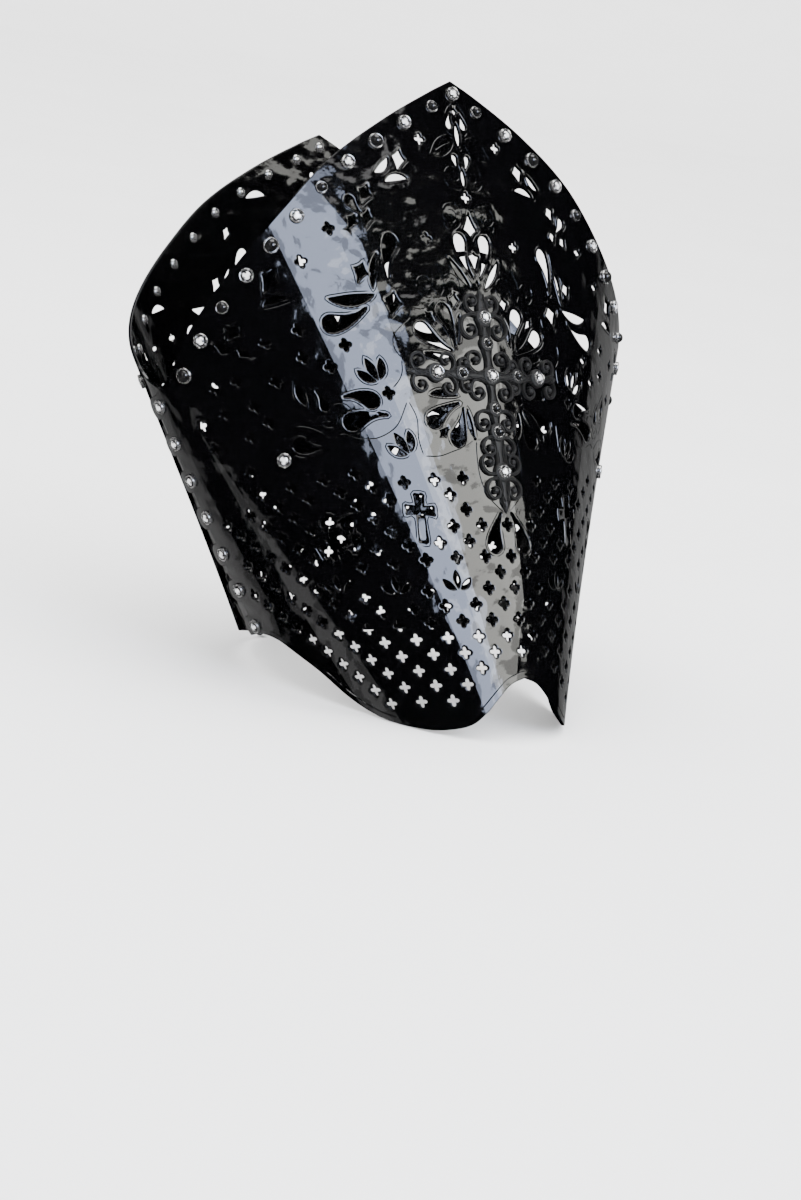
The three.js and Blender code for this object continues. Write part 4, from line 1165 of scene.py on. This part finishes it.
def add_node(tree, kind, settings=None, inputs=None):
    """One node of a tree: its settings are set first, then the values or links of its sockets."""
    node = tree.nodes.new(kind)
    for key, value in (settings or {}).items():
        if key == "ramp":
            while len(node.color_ramp.elements) < len(value):
                node.color_ramp.elements.new(1.0)
            for element, (stop, colour) in zip(node.color_ramp.elements, value):
                element.position, element.color = stop, colour
        else:
            setattr(node, key, value)
    for key, value in (inputs or {}).items():
        socket = value.socket if isinstance(value, Shade) else value
        if isinstance(socket, bpy.types.NodeSocket):
            tree.links.new(socket, node.inputs[key])
        else:
            node.inputs[key].default_value = socket
    return node


class Shade:
    """A shader socket that takes part in sums and products."""

    def __init__(self, finish, socket):
        self.finish, self.socket = finish, socket

    def _math(self, operation, first, second):
        node = self.finish.node("ShaderNodeMath", {"operation": operation}, {0: first, 1: second})
        return Shade(self.finish, node.outputs[0])

    def __add__(self, other):
        return self._math("ADD", self, other)

    def __radd__(self, other):
        return self._math("ADD", other, self)

    def __sub__(self, other):
        return self._math("SUBTRACT", self, other)

    def __rsub__(self, other):
        return self._math("SUBTRACT", other, self)

    def __mul__(self, other):
        return self._math("MULTIPLY", self, other)

    def __rmul__(self, other):
        return self._math("MULTIPLY", other, self)


class Finish:
    """A node material with one shader."""

    def __init__(self, name):
        self.material = bpy.data.materials.new(name)
        self.material.use_nodes = True
        self.tree = self.material.node_tree
        self.tree.nodes.clear()
        self.place = Shade(self, self.node("ShaderNodeTexCoord").outputs["Object"])

    def node(self, kind, settings=None, inputs=None):
        return add_node(self.tree, kind, settings, inputs)

    def noise(self, scale, detail=2.0):
        node = self.node("ShaderNodeTexNoise", {}, {"Vector": self.place, "Scale": scale, "Detail": detail})
        return Shade(self, node.outputs[0])

    def ramp(self, value, stops):
        node = self.node("ShaderNodeValToRGB", {"ramp": stops}, {"Fac": value})
        return Shade(self, node.outputs["Color"])

    def bump(self, height, strength, distance):
        node = self.node("ShaderNodeBump", {}, {"Height": height, "Strength": strength, "Distance": distance})
        return Shade(self, node.outputs["Normal"])

    def surface(self, **sockets):
        """The principled shader with the given sockets, and the material that it ends in."""
        names = {key.replace("_", " "): value for key, value in sockets.items()}
        return self.closed(self.node("ShaderNodeBsdfPrincipled", {}, names))

    def closed(self, shader):
        self.node("ShaderNodeOutputMaterial", {}, {"Surface": shader.outputs[0]})
        return self.material


def grey(value, tint=(1.0, 1.0, 1.0)):
    return (value * tint[0], value * tint[1], value * tint[2], 1.0)


def two_tone(finish, mask, colour, dark):
    """A colour that darkens to a share of itself where the mask is low."""
    low = tuple(c * dark for c in colour) + (1.0,)
    return finish.ramp(mask, [(0.3, low), (0.7, tuple(colour) + (1.0,))])


def patent_finish(settings):
    """Black patent: a hard clear gloss over a hide that undulates more towards the rim."""
    finish = Finish("black_patent")
    swell, ripple, scuff = finish.noise(34.0, 2.0), finish.noise(170.0, 2.0), finish.noise(900.0, 3.0)
    height = Shade(finish, finish.node("ShaderNodeSeparateXYZ", {}, {"Vector": finish.place}).outputs[2])
    calmer = 1.7 - 2.7 * height
    normal = finish.bump((swell + finish.noise(85.0, 1.0) * 0.22) * calmer + ripple * 0.08, 1.0, 0.0019)
    return finish.surface(
        Base_Color=two_tone(finish, swell, settings.patent_colour, 0.8),
        Roughness=settings.patent_roughness + scuff * 0.03 + swell * 0.015,
        Normal=normal, IOR=1.52, Coat_Weight=1.0, Coat_Roughness=0.02, Coat_IOR=1.5)


def silver_finish():
    """Polished silver with hairline scratches."""
    finish = Finish("polished_silver")
    scratches = finish.noise(1500.0, 3.0)
    tone = finish.ramp(finish.noise(240.0), [(0.3, grey(0.80, (1.0, 0.99, 0.975))),
                                             (0.7, grey(0.93, (1.0, 0.99, 0.98)))])
    return finish.surface(Base_Color=tone, Metallic=0.93, Roughness=0.07 + scratches * 0.1,
                          Normal=finish.bump(scratches, 0.08, 0.0002))


def crystal_finish():
    """Cut stones: each facet's colour, from near black to bright, is a painted reflection set facet by facet, under a
    hard clear face.
    """
    finish = Finish("cut_crystal")
    glint = Shade(finish, finish.node("ShaderNodeAttribute", {"attribute_name": "glint"}).outputs["Fac"])
    # painted reflection: the base colour runs from near black to white by each facet's painted value, with a little
    # noise
    tone = finish.ramp(glint + finish.noise(900.0) * 0.2,
                       [(0.2, grey(0.012)), (0.36, grey(0.5, (0.96, 0.98, 1.0))), (0.6, grey(1.0))])
    return finish.surface(Base_Color=tone, Metallic=0.35, Roughness=0.04 + glint * 0.05, IOR=1.6, Coat_Weight=1.0,
                          Coat_Roughness=0.01, Coat_IOR=1.6)


def dome_finish():
    """Black glass domes."""
    finish = Finish("black_dome")
    cloud = finish.noise(500.0, 2.0)
    base = finish.ramp(cloud, [(0.3, grey(0.004)), (0.7, grey(0.009))])
    return finish.surface(Base_Color=base, Roughness=0.04 + cloud * 0.03, IOR=1.55, Coat_Weight=1.0,
                          Coat_Roughness=0.02)


def cross_finish(settings):
    """Black enamel on a casting, glossy and softly uneven."""
    finish = Finish("cross_enamel")
    cast, cloud = finish.noise(300.0, 1.0), finish.noise(900.0, 2.0)
    return finish.surface(Base_Color=two_tone(finish, cast, settings.enamel_colour, 0.7),
                          Roughness=0.06 + cloud * 0.05, IOR=1.5, Coat_Weight=0.7, Coat_Roughness=0.02,
                          Coat_IOR=1.5, Normal=finish.bump(cast, 0.5, 0.0004))


def floor_finish():
    """A plain pale floor."""
    finish = Finish("pale_floor")
    cloud = finish.noise(3.0, 2.0)
    tone = finish.ramp(cloud, [(0.3, grey(0.84)), (0.7, grey(0.86))])
    return finish.surface(Base_Color=tone, Roughness=0.75 + cloud * 0.1)


def finish_named(name, make, *given):
    """The finish of that name, made the first time that it is asked for."""
    return bpy.data.materials.get(name) or make(*given)


# Settings, operators and panel

class MitreSettings(bpy.types.PropertyGroup):
    rounding: FloatProperty(
        name="Edge Rounding", description="Radius of the sheets' cut edges",
        default=0.4 * MM, min=0.05 * MM, max=0.8 * MM, precision=5, unit="LENGTH", subtype="DISTANCE")
    groove_width: FloatProperty(
        name="Line Width", description="Width of the engraved lines",
        default=0.62 * MM, min=0.2 * MM, max=2.0 * MM, precision=5, unit="LENGTH", subtype="DISTANCE")
    groove_depth: FloatProperty(
        name="Line Depth", description="Depth of the engraved lines",
        default=0.24 * MM, min=0.05 * MM, max=0.8 * MM, precision=5, unit="LENGTH", subtype="DISTANCE")
    grid_pitch: FloatProperty(
        name="Grid Pitch", description="Spacing of the sheets' grid",
        default=4.0 * MM, min=2.0 * MM, max=12.0 * MM, precision=5, unit="LENGTH", subtype="DISTANCE")
    crystal_size: FloatProperty(
        name="Crystal Size", description="Size of the crystal studs against their seats",
        default=1.0, min=0.5, max=1.5, subtype="FACTOR")
    spin_seed: IntProperty(
        name="Spin Seed", description="Seed of the crystals' turn in their settings", default=5, min=0)
    patent_colour: FloatVectorProperty(
        name="Patent Colour", description="Colour of the patent sheets",
        default=(0.0012, 0.0012, 0.0014), subtype="COLOR", min=0, max=1)
    patent_roughness: FloatProperty(
        name="Patent Roughness", description="Roughness of the patent under its gloss",
        default=0.06, min=0, max=1, subtype="FACTOR")
    enamel_colour: FloatVectorProperty(
        name="Enamel Colour", description="Colour of the cross",
        default=(0.002, 0.002, 0.0022), subtype="COLOR", min=0, max=1)


def in_mm(length):
    """A setting's length in millimetres, without its stored rounding."""
    return round(length / MM, 6)


def make_sheet(name, node, face, depth, outline, cuts, lines):
    """Cuts, bends and adds one of the two sheets."""
    settings = bpy.context.scene.mitre
    rounding = in_mm(settings.rounding)
    groove = {"width": in_mm(settings.groove_width), "depth": in_mm(settings.groove_depth)}
    pattern = FlatPattern(outline, cuts, lines, rounding, groove, in_mm(settings.grid_pitch))
    mesh = sheet_mesh(name, face, depth, pattern, rounding)
    add_piece(name, mesh, finish_named("black_patent", patent_finish, settings), "patent", node)


def lower_line():
    """The line engraved along the front sheet's lower edge."""
    line = []
    for i in range(-120, 121):
        share = abs(i) / 128
        z = -LOBE_DROP * edge_value(LOWER_EDGE, share)
        line.append((math.copysign(share * float(seam_distance("front", z)[0]), i), z))
    line = np.array(line)
    line += left_of(line) * LOWER_LINE_INSET
    return curve_through([tuple(q) for q in line[::4]], 1.5)


class MITRE_OT_front_panel(bpy.types.Operator):
    """Makes the front sheet with its cut-outs and engraved lines"""
    bl_idname = "mitre.front_panel"
    bl_label = "Front Panel"

    def execute(self, context):
        shaped = centre_cutouts() + both_halves(half_cutouts() + cross_corner_cutouts())
        cuts = raised_to_foot(shaped + lattice("front", shaped + [[CROSS_MIDDLE, (0, 41)]]))
        lines = both_halves(engraved_half() + engraved_round_cross()) + engraved_outlines(shaped)
        make_sheet("pierced_front", "front_panel", "front", 0.0, front_outline(), cuts,
                   raised_to_foot(lines) + [lower_line()])
        return {"FINISHED"}


def fits_back(loop):
    """Whether a cut-out leaves enough of the back sheet round it."""
    x, y = loop[0]
    reach = float(seam_distance("back", y + ROW_A)[0])
    foot = float(level_foot([min(abs(x) / float(seam_distance("back", ROW_A)[0]), 1.0)])[0])
    lowest, highest = min(q[1] for q in loop) + ROW_A, max(q[1] for q in loop) + ROW_A
    return (lowest > foot + BACK_MARGINS["foot"] and max(abs(q[0]) for q in loop) < reach - BACK_MARGINS["side"]
            and highest < upper_height("back", abs(x) / reach) - BACK_MARGINS["top"])


class MITRE_OT_back_panel(bpy.types.Operator):
    """Makes the back sheet with its cut-outs and engraved lines"""
    bl_idname = "mitre.back_panel"
    bl_label = "Back Panel"

    def execute(self, context):
        kept = [loop for loop in centre_cutouts() + both_halves(half_cutouts()) if fits_back(loop)]
        lines = both_halves(engraved_half()) + engraved_outlines(kept)
        make_sheet("pierced_back", "back_panel", "back", BACK_LEVEL, back_outline(),
                   raised_to_foot(kept + lattice("back", kept)), raised_to_foot(lines))
        return {"FINISHED"}


class MITRE_OT_front_cross(bpy.types.Operator):
    """Makes the scrollwork cross"""
    bl_idname = "mitre.front_cross"
    bl_label = "Cross"

    def execute(self, context):
        enamel = finish_named("cross_enamel", cross_finish, context.scene.mitre)
        add_piece("scroll_cross", cross_relief().mesh("scroll_cross"), enamel, "cross_enamel", "front_cross")
        return {"FINISHED"}


def stud_seats():
    """Seats of the crystal and black studs, and of the rivet caps inside."""
    crystals, domes, caps = [], [], []
    for face, depth in (("front", 0.0), ("back", BACK_LEVEL)):
        for i, (p, z) in enumerate(edge_spots(face)):
            for side in ((1, -1) if p > 0 else (1,)):
                if i % 2:
                    domes.append((face, side * p, z, 1.125 if i % 4 == 3 else 0.9, depth))
                else:
                    crystals.append((face, side * p, z, 1.0, depth))
                caps.append((face, side * p, z, 1.0, depth + WALL))
    for z in rivet_heights():
        p = float(seam_distance("front", z)[0])
        for side in (1, -1):
            crystals.append(("front", side * p, z, 1.0, 0.0))
            caps.append(("front", side * p, z, 1.0, BACK_LEVEL + WALL))
    for face, share, up, depth in (("front", 0.652, 0.317, 0.0), ("back", 0.25, 0.035, BACK_LEVEL)):
        z = up * CROWN_HEIGHT
        p = share * float(seam_distance(face, z)[0])
        for side in (1, -1):
            crystals.append((face, side * p, z, 1.0, depth))
            caps.append((face, side * p, z, 1.0, depth + WALL))
    return crystals, domes, caps


def grouped_seats(rows):
    """Seats of (face, across, height, size, depth) rows."""
    seats = []
    for face, p, z, size, depth in rows:
        seats += seats_on(face, [(p, z, size)], depth)
    return seats


def is_black(name):
    """The odd studs along the upper edges are black."""
    place = name.removeprefix("edge_stud_")
    return place != name and place[1:].isdigit() and int(place[1:]) % 2 == 1


class MITRE_OT_studs(bpy.types.Operator):
    """Makes the crystal studs, the black studs and the rivet caps inside"""
    bl_idname = "mitre.studs"
    bl_label = "Studs"

    def execute(self, context):
        settings = context.scene.mitre
        silver = finish_named("polished_silver", silver_finish)
        crystal = finish_named("cut_crystal", crystal_finish)
        black = finish_named("black_dome", dome_finish)
        crystals, domes, caps = (grouped_seats(rows) for rows in stud_seats())
        nodes = [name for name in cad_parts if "_stud_" in name]
        black_nodes = [name for name in nodes if is_black(name)]
        crystal_nodes = [name for name in nodes if not is_black(name)]
        on_cross = seats_on("front", [(p, z + ROW_A, 0.92) for p, z in CROSS_CRYSTALS], -1.9)
        cross_domes = seats_on("front", [(p, z + ROW_A, size * 0.88) for p, z, size in CROSS_DOMES], -1.8)
        for name, seats, make, finish, slot, replaced, size in (
                ("crystal_settings", crystals, cup_mesh, silver, "crystal_stud", crystal_nodes, settings.crystal_size),
                ("crystal_stones", crystals, stone_mesh, crystal, "crystal_stud", (), settings.crystal_size),
                ("black_stud_rings", domes, ring_mesh, silver, "black_stud", black_nodes, 1.0),
                ("black_stud_domes", domes, dome_mesh, black, "black_stud", (), 1.0),
                ("rivet_caps", caps, cap_mesh, silver, "crystal_stud", (), 1.0),
                ("cross_settings", on_cross, cup_mesh, silver, "crystal_stud", (), 1.0),
                ("cross_stones", on_cross, stone_mesh, crystal, "crystal_stud", (), 1.0),
                ("cross_rings", cross_domes, ring_mesh, silver, "black_stud", (), 1.0),
                ("cross_domes", cross_domes, dome_mesh, black, "black_stud", (), 1.0)):
            set_on_seats(name, seats, make(name + "_shape"), finish, slot, replaced, size, settings.spin_seed)
        return {"FINISHED"}


# Stage

WORLD_GLOW = 4.6
FLOOR_FLAT, FLOOR_CURVE = 7.0, 6.0
# The photograph's camera beside the upright crown, in millimetres and radians.
CAMERA_PLACE = (-935.85, -1194.59, 36.67)
CAMERA_YAW, CAMERA_PITCH = 0.66714, -0.00253
CAMERA_LENS, CAMERA_SENSOR = 84.44, (24.03, 36.0)
CARD_AIM = Vector((0.0, -0.05, 0.15))
# Name, angle from +Y towards +X and height angle in degrees, distance, width and height in metres, glow and colour.
CARDS = (
    ("window_card", -178.0, 28.0, 2.2, 0.95, 1.15, 7.8, (0.67, 0.76, 1.0)),
    ("grey_card", 151.0, 30.8, 2.2, 1.69, 0.52, 4.5, (1.0, 1.0, 0.95)),
    ("upper_card", 158.0, 49.0, 2.2, 0.7, 0.16, 3.0, (1.0, 1.0, 1.0)),
    ("top_card", 30.0, 84.0, 2.8, 2.2, 2.2, 3.0, (1.0, 1.0, 1.0)),
)


# Cards seen only in gloss, for the grey of the room at the sides.
SHINE_CARDS = (
    ("right_room", 60.0, 4.0, 3.0, 2.8, 3.4, 0.26),
    ("left_room", -24.0, -34.0, 2.0, 1.5, 0.9, 0.42),
    ("left_low", -88.0, -38.0, 2.0, 0.6, 0.5, 0.7),
    ("left_edge", -112.0, 30.0, 2.4, 0.10, 1.6, 5.0),
    ("front_low", -150.0, -12.0, 2.4, 0.9, 0.08, 2.0),
)


def compass(azimuth, elevation):
    a, e = math.radians(azimuth), math.radians(elevation)
    return Vector((math.sin(a) * math.cos(e), math.cos(a) * math.cos(e), math.sin(e)))


def linked_at(name, data, place, axis):
    """An object of the stage, with an axis turned to the crown and itself unseen."""
    holder = bpy.data.objects.new(name, data)
    bpy.context.scene.collection.objects.link(holder)
    holder.location = place
    holder.rotation_euler = (CARD_AIM - place).to_track_quat(axis, "Y").to_euler()
    holder.visible_camera = False
    return holder


def shine_card(name, place, width, height, glow):
    """A glowing card that only gloss sees."""
    w, h = width / 2, height / 2
    mesh = bpy.data.meshes.new(name)
    mesh.from_pydata([(-w, -h, 0), (w, -h, 0), (w, h, 0), (-w, h, 0)], [], [(0, 1, 2, 3)])
    finish = Finish(name)
    tone = finish.ramp(finish.noise(1.5, 1.0), [(0.3, grey(0.85)), (0.7, grey(1.0))])
    mesh.materials.append(finish.closed(finish.node("ShaderNodeEmission", {}, {"Color": tone, "Strength": glow})))
    card = linked_at(name, mesh, place, "Z")
    card.visible_diffuse = card.visible_shadow = card.visible_transmission = False


def area_light(name, place, width, height, glow, colour):
    """A lit card, with its power from its glow and its size."""
    light = bpy.data.lights.new(name, "AREA")
    light.shape, light.size, light.size_y = "RECTANGLE", width, height
    light.energy, light.color = glow * math.pi * width * height, colour
    linked_at(name, light, place, "-Z")


def bowl_mesh(name, flat, radius, sides=96):
    """A round floor that curves up into a backdrop on every side."""
    profile = [(0.0, 0.0), (flat * 0.5, 0.0), (flat, 0.0)]
    profile += [(flat + radius * math.sin(a), radius - radius * math.cos(a))
                for a in np.linspace(0.06, math.pi / 2, 20)]
    profile.append((flat + radius, radius * 2))
    return turned_mesh(name, [(r / MM, z / MM) for r, z in profile], sides)


class MITRE_OT_stage(bpy.types.Operator):
    """Sets up the floor, the lights and the camera"""
    bl_idname = "mitre.stage"
    bl_label = "Stage"

    def execute(self, context):
        scene = context.scene
        mesh = bowl_mesh("floor", FLOOR_FLAT, FLOOR_CURVE)
        mesh.materials.append(floor_finish())
        floor = bpy.data.objects.new("floor", mesh)
        scene.collection.objects.link(floor)
        floor.visible_glossy = False
        world = bpy.data.worlds.new("studio")
        world.use_nodes = True
        backdrop = world.node_tree.nodes["Background"]
        backdrop.inputs["Color"].default_value = (1.0, 1.0, 1.0, 1.0)
        backdrop.inputs["Strength"].default_value = WORLD_GLOW
        world.cycles_visibility.glossy = False
        scene.world = world
        for name, azimuth, elevation, distance, width, height, glow, colour in CARDS:
            area_light(name, CARD_AIM + compass(azimuth, elevation) * distance, width, height, glow, colour)
        for name, azimuth, elevation, distance, width, height, glow in SHINE_CARDS:
            shine_card(name, CARD_AIM + compass(azimuth, elevation) * distance, width, height, glow)
        add_camera(scene)
        return {"FINISHED"}


def add_camera(scene):
    """The photograph's place and turn, carried along as the crown is leant back on its rim."""
    place = stand(np.array([CAMERA_PLACE]))[0]
    sight = np.array([(math.sin(CAMERA_YAW), math.cos(CAMERA_YAW), CAMERA_PITCH)])
    ahead = Vector(lean(sight)[0]).normalized()
    up = Vector(lean(np.array([(0.0, 0.0, 1.0)]))[0])
    right = ahead.cross(up).normalized()
    up = right.cross(ahead)
    data = bpy.data.cameras.new("camera")
    data.sensor_fit, data.lens = "VERTICAL", CAMERA_LENS
    data.sensor_width, data.sensor_height = CAMERA_SENSOR
    camera = bpy.data.objects.new("camera", data)
    scene.collection.objects.link(camera)
    turn = Matrix((right, up, -ahead)).transposed().to_4x4()
    camera.matrix_world = Matrix.Translation(Vector(place)) @ turn
    scene.camera = camera


class MITRE_PT_sidebar(bpy.types.Panel):
    """Lists the mitre's pieces and sizes"""
    bl_label = "Mitre"
    bl_idname = "MITRE_PT_sidebar"
    bl_space_type = "VIEW_3D"
    bl_region_type = "UI"
    bl_category = "Mitre"

    def draw(self, context):
        for key in MitreSettings.__annotations__:
            self.layout.prop(context.scene.mitre, key)
        for operator in OPERATORS:
            self.layout.operator(operator.bl_idname)


OPERATORS = (MITRE_OT_stage, MITRE_OT_front_panel, MITRE_OT_back_panel, MITRE_OT_front_cross, MITRE_OT_studs)
CLASSES = (MitreSettings, *OPERATORS, MITRE_PT_sidebar)


def register():
    for cls in CLASSES:
        bpy.utils.register_class(cls)
    bpy.types.Scene.mitre = PointerProperty(type=MitreSettings)


def unregister():
    del bpy.types.Scene.mitre
    for cls in reversed(CLASSES):
        bpy.utils.unregister_class(cls)


def main():
    register()
    bpy.ops.mitre.stage()
    bpy.ops.mitre.front_panel()
    bpy.ops.mitre.back_panel()
    bpy.ops.mitre.front_cross()
    bpy.ops.mitre.studs()


if __name__ == "__main__":
    main()
